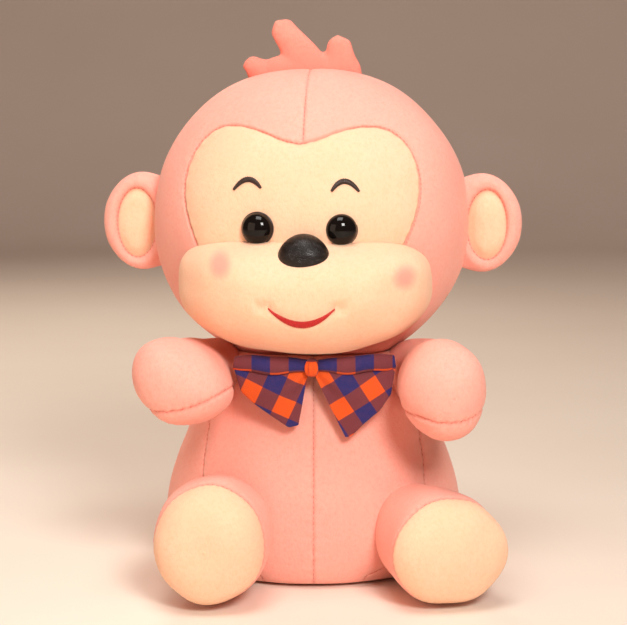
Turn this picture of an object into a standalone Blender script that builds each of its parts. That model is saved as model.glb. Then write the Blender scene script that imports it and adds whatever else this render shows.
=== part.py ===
"""Stuffed monkey sitting with its legs forward. The origin is on the table under the body, +Z is up and
the face looks towards -Y. "left" is the toy's own left, which is +X. Sizes are millimetres until
mesh_object() turns them into metres."""

import math

import bmesh
import bpy
import numpy as np
from mathutils import Matrix, Vector

# Pose of the toy as it sits, degrees
HEAD_TURN = -4.0
ARM_SPLAY = {"left": 8.0, "right": -8.0}
LEG_SPLAY = {"left": 20.0, "right": -3.0}

# Ranges that make_room() keeps clear, degrees from the pose above
HEAD_NOD = (-8.0, 2.0)
ARM_INWARD = 3.0
LEG_LIFT = 18.0
TUFT_FLEX = 10.0

# Cloth and gaps
CLOTH = 1.2
GAP = 0.3
FILL = CLOTH + GAP
ROOM = 0.9

# Main sizes
HEAD_SEMI = np.array([80.0, 68.0, 76.5])
HEAD_CENTRE = np.array([-1.0, 0.0, 179.0])
NECK_PIVOT = (0.0, 0.0, 106.0)
NECK_RADIUS = 20.0
MUZZLE_SEMI = np.array([62.5, 46.0, 27.5])
MUZZLE_CENTRE = np.array([0.0, -44.0, -33.0])  # from the head's centre
ARM_PIVOT = {"left": (52.0, -36.0, 103.0), "right": (-52.0, -36.0, 104.0)}
LEG_PIVOT = {"left": (46.0, -62.0, 27.5), "right": (-46.0, -62.0, 27.5)}
EAR_AXIS_X = 78.0
TUFT_ROOT = (-3.0, 2.0, 73.0)  # from the head's centre
TAIL_PIVOT = (0.0, 64.0, 26.0)

COLOURS = {
    "pink_plush": (0.95, 0.52, 0.42),
    "cream_plush": (0.96, 0.80, 0.60),
    "deep_pink_plush": (0.93, 0.38, 0.31),
    "filling": (0.93, 0.93, 0.90),
    "eye_plastic": (0.01, 0.008, 0.008),
    "nose_plastic": (0.035, 0.025, 0.022),
    "washer_plastic": (0.85, 0.85, 0.83),
    "dark_thread": (0.08, 0.035, 0.02),
    "red_thread": (0.62, 0.03, 0.03),
    "check_cloth": (0.75, 0.13, 0.05),
}

for old in list(bpy.data.objects):
    bpy.data.objects.remove(old, do_unlink=True)


def material(slot):
    found = bpy.data.materials.get(slot)
    if found:
        return found
    made = bpy.data.materials.new(slot)
    made.use_nodes = True
    shader = made.node_tree.nodes["Principled BSDF"]
    shader.inputs["Base Color"].default_value = (*COLOURS[slot], 1.0)
    shader.inputs["Roughness"].default_value = 0.25 if slot == "eye_plastic" else 0.85
    return made


def mesh_object(name, shape, parent=None, slot=None):
    """An object of (points in mm, faces), facing out. Without a slot it is a cutter that no render shows."""
    points, faces = shape
    mesh = bpy.data.meshes.new(name)
    mesh.from_pydata([tuple(p) for p in np.asarray(points, float) / 1000.0], [], [tuple(f) for f in faces])
    work = bmesh.new()
    work.from_mesh(mesh)
    bmesh.ops.recalc_face_normals(work, faces=work.faces)
    work.to_mesh(mesh)
    work.free()
    obj = bpy.data.objects.new(name, mesh)
    bpy.context.scene.collection.objects.link(obj)
    obj.parent = parent
    if slot:
        mesh.materials.append(material(slot))
        mesh.shade_smooth()
    else:
        obj.hide_render = True
        obj.display_type = "WIRE"
    return obj


def pivot(name, place, turn=0.0, parent=None):
    """An empty on a joint's axis, turned about Z by the pose."""
    empty = bpy.data.objects.new(name, None)
    bpy.context.scene.collection.objects.link(empty)
    empty.empty_display_size = 0.01
    empty.location = Vector(place) / 1000.0
    empty.rotation_euler = (0.0, 0.0, math.radians(turn))
    empty.parent = parent
    return empty


def boolean(obj, tools, operation="DIFFERENCE"):
    for tool in tools if isinstance(tools, (list, tuple)) else [tools]:
        step = obj.modifiers.new(f"{operation.lower()} {tool.name}", "BOOLEAN")
        step.operation = operation
        step.solver = "EXACT"
        step.object = tool
    return obj


def rings_to_shape(rings):
    """A closed shape from rings of equal length. A first or last ring of no size becomes a pole."""
    rings = np.asarray(rings, float)
    low_pole, high_pole = rings[0].mean(axis=0), rings[-1].mean(axis=0)
    if np.ptp(rings[0], axis=0).max() < 1e-6:
        rings = rings[1:]
    if np.ptp(rings[-1], axis=0).max() < 1e-6:
        rings = rings[:-1]
    count, around = rings.shape[:2]
    points = np.vstack([rings.reshape(-1, 3), low_pole, high_pole])
    low, high = count * around, count * around + 1
    faces = []
    for j in range(around):
        k = (j + 1) % around
        for i in range(count - 1):
            faces.append((i * around + j, i * around + k, (i + 1) * around + k, (i + 1) * around + j))
        faces.append((low, k, j))
        faces.append((high, (count - 1) * around + j, (count - 1) * around + k))
    return points, faces


def superround(angle, power):
    """Cosine and sine of a superellipse of this power."""
    c, s = np.cos(angle), np.sin(angle)
    return np.sign(c) * np.abs(c) ** (2 / power), np.sign(s) * np.abs(s) ** (2 / power)


def ellipsoid(centre, semi, around=32, rings=18, power=2.0, grow=0.0):
    """Latitude rings about Z. power squares the outline seen from the front."""
    semi = np.asarray(semi, float) + grow
    tilt = np.linspace(-math.pi / 2, math.pi / 2, rings + 1)[1:-1]
    up = (np.arange(around) + 0.29) * 2 * math.pi / around
    flat, high = superround(tilt, power)
    x, y = superround(up, power)
    rings = np.stack(
        [
            flat[:, None] * x * semi[0] + centre[0],
            flat[:, None] * y * semi[1] + centre[1],
            np.repeat(high[:, None], around, 1) * semi[2] + centre[2],
        ],
        -1,
    )
    points, faces = rings_to_shape(rings)
    points[-2] = (centre[0], centre[1], centre[2] - semi[2])
    points[-1] = (centre[0], centre[1], centre[2] + semi[2])
    return points, faces


def stacked(rows, around, grow=0.0, axis="z", power=2.0, middle=0.0):
    """A body of oval sections. rows holds (station, half width, half height or depth[, offset x, offset z]).
    grow moves the surface out, or in when negative, by scaling each station and section."""
    rows = np.asarray([tuple(r) + (0.0,) * (5 - len(r)) for r in rows], float)
    low, high = rows[0, 0] - grow, rows[-1, 0] + grow
    station = low + (rows[:, 0] - rows[0, 0]) * (high - low) / (rows[-1, 0] - rows[0, 0])
    wide = rows[:, 1] * (rows[:, 1].max() + grow) / rows[:, 1].max()
    deep = rows[:, 2] * (rows[:, 2].max() + grow) / rows[:, 2].max()
    angle = (np.arange(around) + 0.37) * 2 * math.pi / around
    c, s = superround(angle, power)
    across = rows[:, 3, None] + wide[:, None] * c
    other = rows[:, 4, None] + deep[:, None] * s
    along = np.repeat(station[:, None], around, 1)
    if axis == "z":
        rings = np.stack([across, other, along], -1)
    elif axis == "-y":
        rings = np.stack([across, -along, other], -1)
    else:
        rings = np.stack([along, across, other], -1)
    return rings_to_shape(rings)


def extruded(outline, low, high, axis="y"):
    """A polygon of (x, z) pushed along Y, or of (y, z) pushed along X."""
    outline = np.asarray(outline, float)
    count = len(outline)
    ends = []
    for depth in (low, high):
        push = np.full(count, depth)
        ends.append(
            np.stack([outline[:, 0], push, outline[:, 1]], -1)
            if axis == "y"
            else np.stack([push, outline[:, 0], outline[:, 1]], -1)
        )
    faces = [tuple(range(count)), tuple(range(2 * count - 1, count - 1, -1))]
    faces += [(i, count + i, count + (i + 1) % count, (i + 1) % count) for i in range(count)]
    return np.vstack(ends), faces


def block(x, y, z):
    return extruded([(x[0], z[0]), (x[1], z[0]), (x[1], z[1]), (x[0], z[1])], y[0], y[1])


def turned(shape, matrix):
    points, faces = shape
    return np.array([matrix @ Vector(p) for p in points]), faces


def along_normal(place, normal):
    """The matrix that takes +Z to the normal and the origin to the place."""
    return Matrix.Translation(Vector(place)) @ Vector(normal).to_track_quat("Z", "Y").to_matrix().to_4x4()


def peg(radius, low, high, around=14):
    return stacked([(low, radius, radius), (high, radius, radius)], around)


def offset_outline(outline, distance):
    """Each corner of a closed outline moved out along the mean of its two edge normals."""
    outline = np.asarray(outline, float)
    edge = np.roll(outline, -1, 0) - outline
    normal = np.stack([edge[:, 1], -edge[:, 0]], -1) / np.linalg.norm(edge, axis=1)[:, None]
    area = np.sum(outline[:, 0] * np.roll(outline[:, 1], -1) - np.roll(outline[:, 0], -1) * outline[:, 1])
    both = normal + np.roll(normal, 1, 0)
    both /= np.linalg.norm(both, axis=1)[:, None]
    return outline + both * distance * (1 if area > 0 else -1)


# ---------------------------------------------------------------- pivots
neck_pivot = pivot("neck_pivot", NECK_PIVOT, HEAD_TURN)
head_frame = pivot("head_frame", HEAD_CENTRE - NECK_PIVOT, 0.0, neck_pivot)
arm_pivot = {side: pivot(f"{side}_arm_pivot", ARM_PIVOT[side], ARM_SPLAY[side]) for side in ARM_PIVOT}
leg_pivot = {side: pivot(f"{side}_leg_pivot", LEG_PIVOT[side], LEG_SPLAY[side]) for side in LEG_PIVOT}

# ---------------------------------------------------------------- limb shapes
ARM_ROWS = {
    "right": [(-20, 0, 0)] + [(-20 * math.cos(a), 20 * math.sin(a), 20 * math.sin(a)) for a in (0.5, 0.95, 1.3)]
    + [(0, 20, 20), (12, 20.2, 19.2, -0.5, 0.5), (25, 21.5, 19.2, -1.5, 1.5), (37, 22.5, 19.4, -2.5, 2.5),
       (46, 21.0, 18.0, -3, 3), (52, 17, 15, -3, 3), (56.5, 10.5, 9.5, -3, 3), (58.5, 0, 0, -3, 3)],
    "left": [(-20, 0, 0)] + [(-20 * math.cos(a), 20 * math.sin(a), 20 * math.sin(a)) for a in (0.5, 0.95, 1.3)]
    + [(0, 20, 20), (12, 19.5, 20.2, 0.5, 0), (25, 19.6, 21.6, 1.2, 0.2), (37, 19.8, 22.6, 2, 0.6),
       (46, 18.2, 21.2, 2.4, 0.6), (52, 15, 17.5, 2.6, 0.4), (56.5, 9.5, 11, 2.6, 0.2), (58.5, 0, 0, 2.6, 0)],
}
LEG_ROWS = [(-26, 0, 0)] + [(-26 * math.cos(a), 26 * math.sin(a), 26 * math.sin(a)) for a in (0.5, 0.95, 1.3)] + [
    (0, 26, 26), (10, 27.0, 27.0), (22, 27.5, 27.4), (32, 26.6, 26.6), (38, 25.0, 25.2), (42.5, 21.5, 21.7),
    (45.8, 15, 15.2), (48, 0, 0),
]


def swung(axis, degrees):
    return Matrix.Rotation(math.radians(degrees), 4, axis)


head_room = [
    mesh_object(
        f"room_head_{i}",
        turned(
            ellipsoid(HEAD_CENTRE - NECK_PIVOT, HEAD_SEMI, 22, 14, 2.0, ROOM + 1.4),
            swung("X", nod),
        ),
        neck_pivot,
    )
    for i, nod in enumerate((HEAD_NOD[0], HEAD_NOD[0] / 2, HEAD_NOD[1]))
]
arm_room = {
    side: [
        mesh_object(
            f"room_{side}_arm_{i}",
            turned(stacked(ARM_ROWS[side], 17, 1.3 * ROOM, "-y"), swung("Z", turn if side == "right" else -turn)),
            arm_pivot[side],
        )
        for i, turn in enumerate((ARM_INWARD / 2,))
    ]
    for side in ARM_PIVOT
}
leg_room = {
    side: [
        mesh_object(
            f"room_{side}_leg_{i}",
            turned(stacked(LEG_ROWS, 17, ROOM, "-y"), swung("X", -turn)),
            leg_pivot[side],
        )
        for i, turn in enumerate((0.0, LEG_LIFT / 2, LEG_LIFT))
    ]
    for side in LEG_PIVOT
}

# ---------------------------------------------------------------- body
TORSO_ROWS = [
    (0, 64, 53), (2.5, 70, 58), (8, 74, 61), (18, 76.5, 63), (30, 76.8, 63.3), (42, 75, 62), (56, 71, 59),
    (70, 65.5, 55), (84, 60.5, 51.3), (98, 55.8, 47.8), (108, 51.8, 44.6), (116, 47.2, 40.6), (123, 40, 34.5),
    (128, 28, 24), (131, 12, 10),
]


def torso_shape(grow=0.0):
    return stacked(TORSO_ROWS, 26, grow)


def side_seam(z):
    """The side seams lean forward from the armhole to the leg."""
    return -58.0 + 0.38 * z


def quarter(side, front):
    """The region of one body panel, bounded by the centre seam and a side seam."""
    far = -120.0 if front else 120.0
    shift = -GAP / 2 if front else GAP / 2
    low, high = FILL, 200.0
    outline = [(far, low), (side_seam(low) + shift, low), (side_seam(high) + shift, high), (far, high)]
    reach = (GAP / 2, 120.0) if side == "left" else (-120.0, -GAP / 2)
    return extruded(outline, *reach, axis="x")


torso_core = mesh_object("cut_torso_core", torso_shape(-CLOTH))
tail_room = mesh_object("room_tail", ellipsoid(TAIL_PIVOT, (7.0, 7.0, 7.0), 16, 10, 2.0, ROOM))
for side in ("left", "right"):
    for front in (True, False):
        name = f"torso_{'front' if front else 'back'}_{side}"
        panel = mesh_object(name, torso_shape(), None, "pink_plush")
        boolean(panel, torso_core)
        boolean(panel, mesh_object(f"cut_{name}", quarter(side, front)), "INTERSECT")
        boolean(panel, head_room + arm_room[side] + leg_room[side])
        if not front:
            boolean(panel, tail_room)

base = mesh_object("torso_base", torso_shape(), None, "pink_plush")
boolean(base, mesh_object("cut_base", block((-120, 120), (-120, 120), (-5, CLOTH))), "INTERSECT")

torso_stuffing = mesh_object("torso_stuffing", torso_shape(-FILL), None, "filling")
boolean(torso_stuffing, mesh_object("cut_underside", block((-120, 120), (-120, 120), (-20, FILL + GAP))))
neck_room = mesh_object("room_neck", ellipsoid(NECK_PIVOT, [NECK_RADIUS] * 3, 16, 10, 2.0, ROOM))
for side in ("left", "right"):
    boolean(torso_stuffing, arm_room[side] + leg_room[side])
boolean(torso_stuffing, head_room + [neck_room, tail_room])

# ---------------------------------------------------------------- neck
mesh_object("neck_filling", ellipsoid((0, 0, 0), [NECK_RADIUS - 0.4] * 3, 16, 10), neck_pivot, "filling")

# ---------------------------------------------------------------- head
FACE = [
    (0, 41.5), (9, 43), (19.5, 47), (30.5, 49.3), (41, 48.3), (49, 43), (55.2, 34), (58.3, 24), (58.5, 14),
    (56, 3), (51.5, -8), (47, -18), (43, -30), (34, -42), (18, -49),
]
FACE = [(x - 1.5, z) for x, z in FACE] + [(-1.5, -50)] + [(-x - 1.5, z) for x, z in FACE[:0:-1]]


def head_shape(grow=0.0, around=26, rings=16):
    return ellipsoid((0, 0, 0), HEAD_SEMI, around, rings, 2.08, grow)


def muzzle_shape(grow=0.0, around=24, rings=12):
    return ellipsoid(MUZZLE_CENTRE, MUZZLE_SEMI, around, rings, 2.3, grow)


def head_y(x, z, lift=0.0):
    """Y of the head's front at (x, z), lifted off the cloth."""
    a, b, c = HEAD_SEMI + lift
    p = 2.08
    rest = 1 - np.abs(z / c) ** p
    return -b * np.maximum(rest - np.abs(x / a) ** p, 0) ** (1 / p)


def muzzle_y(x, z, lift=0.0):
    a, b, c = MUZZLE_SEMI + lift
    p = 2.3
    dx, dz = x - MUZZLE_CENTRE[0], z - MUZZLE_CENTRE[2]
    return MUZZLE_CENTRE[1] - b * np.maximum(1 - np.abs(dz / c) ** p - np.abs(dx / a) ** p, 0) ** (1 / p)


head_core = mesh_object("cut_head_core", head_shape(-CLOTH), head_frame)
neck_hole = mesh_object("cut_neck_hole", turned(peg(24, -90, -50, 20), Matrix.Identity(4)), head_frame)
face_cut = mesh_object("cut_face", extruded(offset_outline(FACE, GAP / 2), -90, -8), head_frame)
face_keep = mesh_object("keep_face", extruded(offset_outline(FACE, -GAP / 2), -90, -8), head_frame)
ear_groove = {
    side: mesh_object(
        f"cut_{side}_ear_groove",
        turned(peg(5.1, -27, 21, 16), Matrix.Translation((sign * EAR_AXIS_X, 0, 0))),
        head_frame,
    )
    for side, sign in (("left", 1), ("right", -1))
}

TUFT = [
    (-31, -5), (-32.5, 4), (-30, 8.5), (-27.5, 12), (-23.5, 10), (-19, 9.5), (-16.3, 13), (-18.3, 20), (-18.8, 25),
    (-16.5, 28.2), (-13, 29.6), (-9.5, 28.4), (-5.5, 25), (-0.5, 20.5), (5, 16), (8.5, 14), (11.5, 16), (13, 20),
    (16, 21.8), (19.5, 21), (22.5, 17), (25.5, 10), (28.5, 3), (30, -5), (15, -7.5), (0, -8), (-15, -7.5),
]
TUFT_HALF = 4.8
tuft_pivot = pivot("tuft_pivot", TUFT_ROOT, 0.0, head_frame)
tuft_room = [
    mesh_object(
        f"room_tuft_{i}",
        turned(extruded(offset_outline(TUFT, ROOM), -TUFT_HALF - ROOM, TUFT_HALF + ROOM), swung("X", turn)),
        tuft_pivot,
    )
    for i, turn in enumerate((-TUFT_FLEX, 0.0, TUFT_FLEX))
]

for side, reach in (("left", (GAP / 2, 100)), ("right", (-100, -GAP / 2))):
    half = mesh_object(f"head_cover_{side}", head_shape(), head_frame, "pink_plush")
    boolean(half, head_core)
    keep = mesh_object(f"keep_head_{side}", block(reach, (-100, 100), (-100, 100)), head_frame)
    boolean(half, keep, "INTERSECT")
    boolean(half, [face_cut, neck_hole, ear_groove[side]] + tuft_room)

face = mesh_object("face_panel", head_shape(), head_frame, "cream_plush")
boolean(face, head_core)
boolean(face, face_keep, "INTERSECT")

head_stuffing = mesh_object("head_stuffing", head_shape(-FILL), head_frame, "filling")
neck_pocket = mesh_object("room_neck_in_head", ellipsoid((0, 0, 0), [NECK_RADIUS] * 3, 16, 10, 2.0, ROOM), neck_pivot)
boolean(head_stuffing, [neck_pocket, ear_groove["left"], ear_groove["right"]] + tuft_room)

# ---------------------------------------------------------------- muzzle
head_outside = mesh_object("cut_head_outside", head_shape(GAP), head_frame)
muzzle_core = mesh_object("cut_muzzle_core", muzzle_shape(-CLOTH), head_frame)
muzzle_cover = mesh_object("muzzle_cover", muzzle_shape(), head_frame, "cream_plush")
boolean(muzzle_cover, [muzzle_core, head_outside])
muzzle_stuffing = mesh_object("muzzle_stuffing", muzzle_shape(-FILL), head_frame, "filling")
boolean(muzzle_stuffing, head_outside)

# ---------------------------------------------------------------- eyes and nose
EYE_RADIUS, EYE_RISE, STEM, WASHER = 8.0, 5.5, 2.2, 7.0
for side, x in (("left", 18.5), ("right", -21.5)):
    z = 2.8
    y = float(head_y(x, z))
    normal = np.array([x / HEAD_SEMI[0] ** 2, y / HEAD_SEMI[1] ** 2, z / HEAD_SEMI[2] ** 2])
    at = along_normal((x, y, z), normal)
    eye = mesh_object(f"{side}_eye", turned(ellipsoid((0, 0, 0), (EYE_RADIUS, EYE_RADIUS, EYE_RISE), 18, 9), at),
                      head_frame, "eye_plastic")
    boolean(eye, head_outside)
    boolean(eye, mesh_object(f"join_{side}_eye_stem", turned(peg(STEM, -11, 3.5), at), head_frame), "UNION")
    hole = mesh_object(f"cut_{side}_eye_hole", turned(peg(STEM + GAP, -12, 5), at), head_frame)
    pocket = mesh_object(f"cut_{side}_eye_pocket", turned(peg(WASHER + GAP, -5.4, 5, 18), at), head_frame)
    boolean(face, hole)
    boolean(head_stuffing, [hole, pocket])
    washer = mesh_object(f"{side}_eye_washer", turned(peg(WASHER, -5.0, -3.6, 16), at), head_frame, "washer_plastic")
    boolean(washer, hole)

NOSE_AT, NOSE_NORMAL = (-2.0, -71.5, -9.5), (0.0, -0.86, 0.51)
nose_frame = along_normal(NOSE_AT, NOSE_NORMAL)
nose = mesh_object("nose", turned(ellipsoid((0, 0, 0), (12.2, 8.2, 6.8), 20, 10, 2.15), nose_frame),
                   head_frame, "nose_plastic")
muzzle_outside = mesh_object("cut_muzzle_outside", muzzle_shape(GAP), head_frame)
boolean(nose, [muzzle_outside, head_outside])
boolean(nose, mesh_object("join_nose_stem", turned(peg(2.6, -18, 3), nose_frame), head_frame), "UNION")
nose_hole = mesh_object("cut_nose_hole", turned(peg(2.6 + GAP, -19, 5), nose_frame), head_frame)
boolean(muzzle_cover, nose_hole)
boolean(face, nose_hole)
boolean(muzzle_stuffing, nose_hole)
nose_pocket = mesh_object("cut_nose_pocket", turned(peg(7.3, -17.0, -7.0, 18), nose_frame), head_frame)
boolean(head_stuffing, [nose_hole, nose_pocket])
boolean(mesh_object("nose_washer", turned(peg(6.6, -16.6, -15.2, 16), nose_frame), head_frame, "washer_plastic"),
        nose_hole)

# ---------------------------------------------------------------- embroidery
def thread_strip(path, widths, height, around=6):
    """A strip of satin stitches along a path, rounded in section, thinner at its ends."""
    path = np.asarray(path, float)
    ahead = np.gradient(path, axis=0)
    ahead /= np.linalg.norm(ahead, axis=1)[:, None]
    out = np.array([0.0, -1.0, 0.0]) - (ahead @ np.array([0.0, -1.0, 0.0]))[:, None] * ahead
    out /= np.linalg.norm(out, axis=1)[:, None]
    wide = np.cross(ahead, out)
    angle = np.linspace(0, 2 * math.pi, around, endpoint=False)
    return rings_to_shape(
        path[:, None]
        + wide[:, None] * (np.cos(angle)[None, :] * np.asarray(widths)[:, None])[..., None]
        + out[:, None] * (np.sin(angle)[None, :] * height)[..., None]
    )


for side, x0, x1, x2, z0, z1, z2 in (
    ("left", 13.5, 20.0, 27.0, 19.5, 24.0, 19.5),
    ("right", -33.5, -27.0, -20.5, 19.5, 24.5, 21.0),
):
    t = np.linspace(0, 1, 7)
    x = (1 - t) ** 2 * x0 + 2 * t * (1 - t) * (2 * x1 - (x0 + x2) / 2) + t**2 * x2
    z = (1 - t) ** 2 * z0 + 2 * t * (1 - t) * (2 * z1 - (z0 + z2) / 2) + t**2 * z2
    path = np.stack([x, head_y(x, z, 1.1), z], -1)
    mesh_object(f"{side}_eyebrow", thread_strip(path, 0.35 + 0.75 * np.sin(math.pi * t) ** 0.6, 0.6),
                head_frame, "dark_thread")

t = np.linspace(0, 1, 13)
x = -18.0 + 32.0 * t
z = -36.0 - 8.6 * (1 - (2 * t - 1) ** 2)
mouth_path = np.stack([x, muzzle_y(x, z, 1.3), z], -1)
mesh_object("mouth_embroidery", thread_strip(mouth_path, 0.4 + 1.0 * np.sin(math.pi * t) ** 0.8, 0.7),
            head_frame, "red_thread")

# ---------------------------------------------------------------- ears
def ear_shape(sign, inset=0.0):
    """A rounded disc whose root is a bead on the fold axis. Sections run outwards along X."""
    out = np.array([74.2, 75.5, 78.0, 81.0, 85.0, 90.0, 95.0, 100.0, 104.0, 106.3, 107.3])
    thick = np.array([1.4, 3.1, 4.0, 4.3, 5.2, 5.9, 5.9, 5.4, 4.2, 2.8, 1.4])
    tall = np.array([21.0, 21.8, 22.4, 23.4, 24.6, 24.4, 22.4, 18.4, 12.8, 7.6, 3.6])
    k = (out - out[0]) / (out[-1] - out[0])
    out = out[0] + inset + k * (out[-1] - out[0] - 2 * inset)
    rows = [
        (o, max(t - inset, 0.5), max(h - inset, 1.0), 0.0, -2.6) for o, t, h in zip(out, thick, tall)
    ]
    points, faces = stacked(rows, 14, 0.0, "x", 2.3)
    points = points * np.array([sign, 1, 1])
    return points, faces


for side, sign in (("left", 1), ("right", -1)):
    ear_pivot = pivot(f"{side}_ear_pivot", (sign * EAR_AXIS_X, 0, 0), 0.0, head_frame)
    shift = Matrix.Translation((-sign * EAR_AXIS_X, 0, 0))
    angle = np.linspace(0, 2 * math.pi, 22, endpoint=False)
    oval = np.stack([sign * (90.0 + 9.0 * np.cos(angle)), -2.8 + 16.5 * np.sin(angle)], -1)
    core = mesh_object(f"cut_{side}_ear_core", turned(ear_shape(sign, CLOTH), shift), ear_pivot)
    front = mesh_object(f"cut_{side}_ear_front", turned(block((-120, 120), (-30, -GAP / 2), (-40, 40)), shift), ear_pivot)
    rear = mesh_object(f"cut_{side}_ear_rear", turned(block((-120, 120), (GAP / 2, 30), (-40, 40)), shift), ear_pivot)
    hole = mesh_object(f"cut_{side}_ear_oval", turned(extruded(oval, -20, 0), shift), ear_pivot)
    fill = mesh_object(f"keep_{side}_ear_oval", turned(extruded(offset_outline(oval, -GAP), -20, 0), shift), ear_pivot)
    back = mesh_object(f"{side}_ear_back", turned(ear_shape(sign), shift), ear_pivot, "pink_plush")
    boolean(boolean(back, core), rear, "INTERSECT")
    rim = mesh_object(f"{side}_ear_rim", turned(ear_shape(sign), shift), ear_pivot, "pink_plush")
    boolean(boolean(boolean(rim, core), front, "INTERSECT"), hole)
    inner = mesh_object(f"{side}_ear_inner", turned(ear_shape(sign), shift), ear_pivot, "cream_plush")
    boolean(boolean(boolean(inner, core), front, "INTERSECT"), fill, "INTERSECT")
    mesh_object(f"{side}_ear_filling", turned(ear_shape(sign, FILL), shift), ear_pivot, "filling")

# ---------------------------------------------------------------- tuft
tuft_core = mesh_object("cut_tuft_core", extruded(offset_outline(TUFT, -CLOTH), -TUFT_HALF + CLOTH, TUFT_HALF - CLOTH),
                        tuft_pivot)
for name, reach in (("tuft_front", (-TUFT_HALF, -GAP / 2)), ("tuft_back", (GAP / 2, TUFT_HALF))):
    boolean(mesh_object(name, extruded(TUFT, *reach), tuft_pivot, "deep_pink_plush"), tuft_core)
mesh_object("tuft_filling", extruded(offset_outline(TUFT, -FILL), -TUFT_HALF + FILL, TUFT_HALF - FILL),
            tuft_pivot, "filling")

# ---------------------------------------------------------------- arms
ARM_SEAM = {"left": -9.0, "right": -4.0}
for side in ("left", "right"):
    rows, holder, seam = ARM_ROWS[side], arm_pivot[side], ARM_SEAM[side]
    core = mesh_object(f"cut_{side}_arm_core", stacked(rows, 16, -CLOTH, "-y"), holder)
    for name, span in ((f"{side}_arm_upper", (seam + GAP / 2, 60)), (f"{side}_arm_lower", (-60, seam - GAP / 2))):
        panel = mesh_object(name, stacked(rows, 16, 0.0, "-y"), holder, "pink_plush")
        boolean(panel, core)
        boolean(panel, mesh_object(f"keep_{name}", block((-60, 60), (-80, 60), span), holder), "INTERSECT")
    mesh_object(f"{side}_arm_stuffing", stacked(rows, 16, -FILL, "-y"), holder, "filling")

# ---------------------------------------------------------------- legs
SOLE_AT = 37.5
for side in ("left", "right"):
    holder = leg_pivot[side]
    core = mesh_object(f"cut_{side}_leg_core", stacked(LEG_ROWS, 18, -CLOTH, "-y"), holder)
    for name, span, slot in (
        (f"{side}_leg_cover", (-SOLE_AT + GAP / 2, 60), "pink_plush"),
        (f"{side}_sole", (-80, -SOLE_AT - GAP / 2), "cream_plush"),
    ):
        panel = mesh_object(name, stacked(LEG_ROWS, 18, 0.0, "-y"), holder, slot)
        boolean(panel, core)
        boolean(panel, mesh_object(f"keep_{name}", block((-60, 60), span, (-60, 60)), holder), "INTERSECT")
    mesh_object(f"{side}_leg_stuffing", stacked(LEG_ROWS, 18, -FILL, "-y"), holder, "filling")

# ---------------------------------------------------------------- tail
def tail_shape(inset=0.0):
    """A slim roll that leaves the back and curls up behind the body."""
    t = np.linspace(0, 1, 12)
    bend = np.radians(np.interp(t, [0, 0.15, 0.6, 1.0], [0, 12, 88, 140]))
    step = 92.0 / 11
    y = np.concatenate([[0], np.cumsum(step * np.cos(bend))[:-1]]) - 6.0
    z = np.concatenate([[0], np.cumsum(step * np.sin(bend))[:-1]])
    radius = np.interp(t, [0, 0.07, 0.5, 0.93, 1.0], [4.2, 7.0, 7.6, 6.6, 3.2]) - inset
    ahead = np.stack([np.cos(bend), np.sin(bend)], -1)
    angle = np.linspace(0, 2 * math.pi, 12, endpoint=False)
    if inset:
        y[0] += inset
        y[-1] -= inset * ahead[-1, 0]
        z[-1] -= inset * ahead[-1, 1]
    across = radius[:, None] * np.cos(angle)
    up = radius[:, None] * np.sin(angle)
    return rings_to_shape(
        np.stack([across, y[:, None] - ahead[:, 1, None] * up, z[:, None] + ahead[:, 0, None] * up], -1)
    )


tail_pivot = pivot("tail_pivot", TAIL_PIVOT)
tail_cover = mesh_object("tail_cover", tail_shape(), tail_pivot, "pink_plush")
boolean(tail_cover, mesh_object("cut_tail_core", tail_shape(CLOTH), tail_pivot))
boolean(tail_cover, mesh_object("cut_tail_mouth", block((-20, 20), (-20, -4.0), (-20, 20)), tail_pivot))
mesh_object("tail_stuffing", tail_shape(FILL), tail_pivot, "filling")

# ---------------------------------------------------------------- bow
KNOT = np.array([-0.5, -52.5, 110.5])
WINGS = {  # outer corners of each wing: top, then bottom
    "left": ((36.0, -58.0, 114.5), (15.5, -60.5, 79.0)),
    "right": ((-36.0, -58.0, 113.5), (-10.5, -60.5, 83.0)),
}


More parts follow.
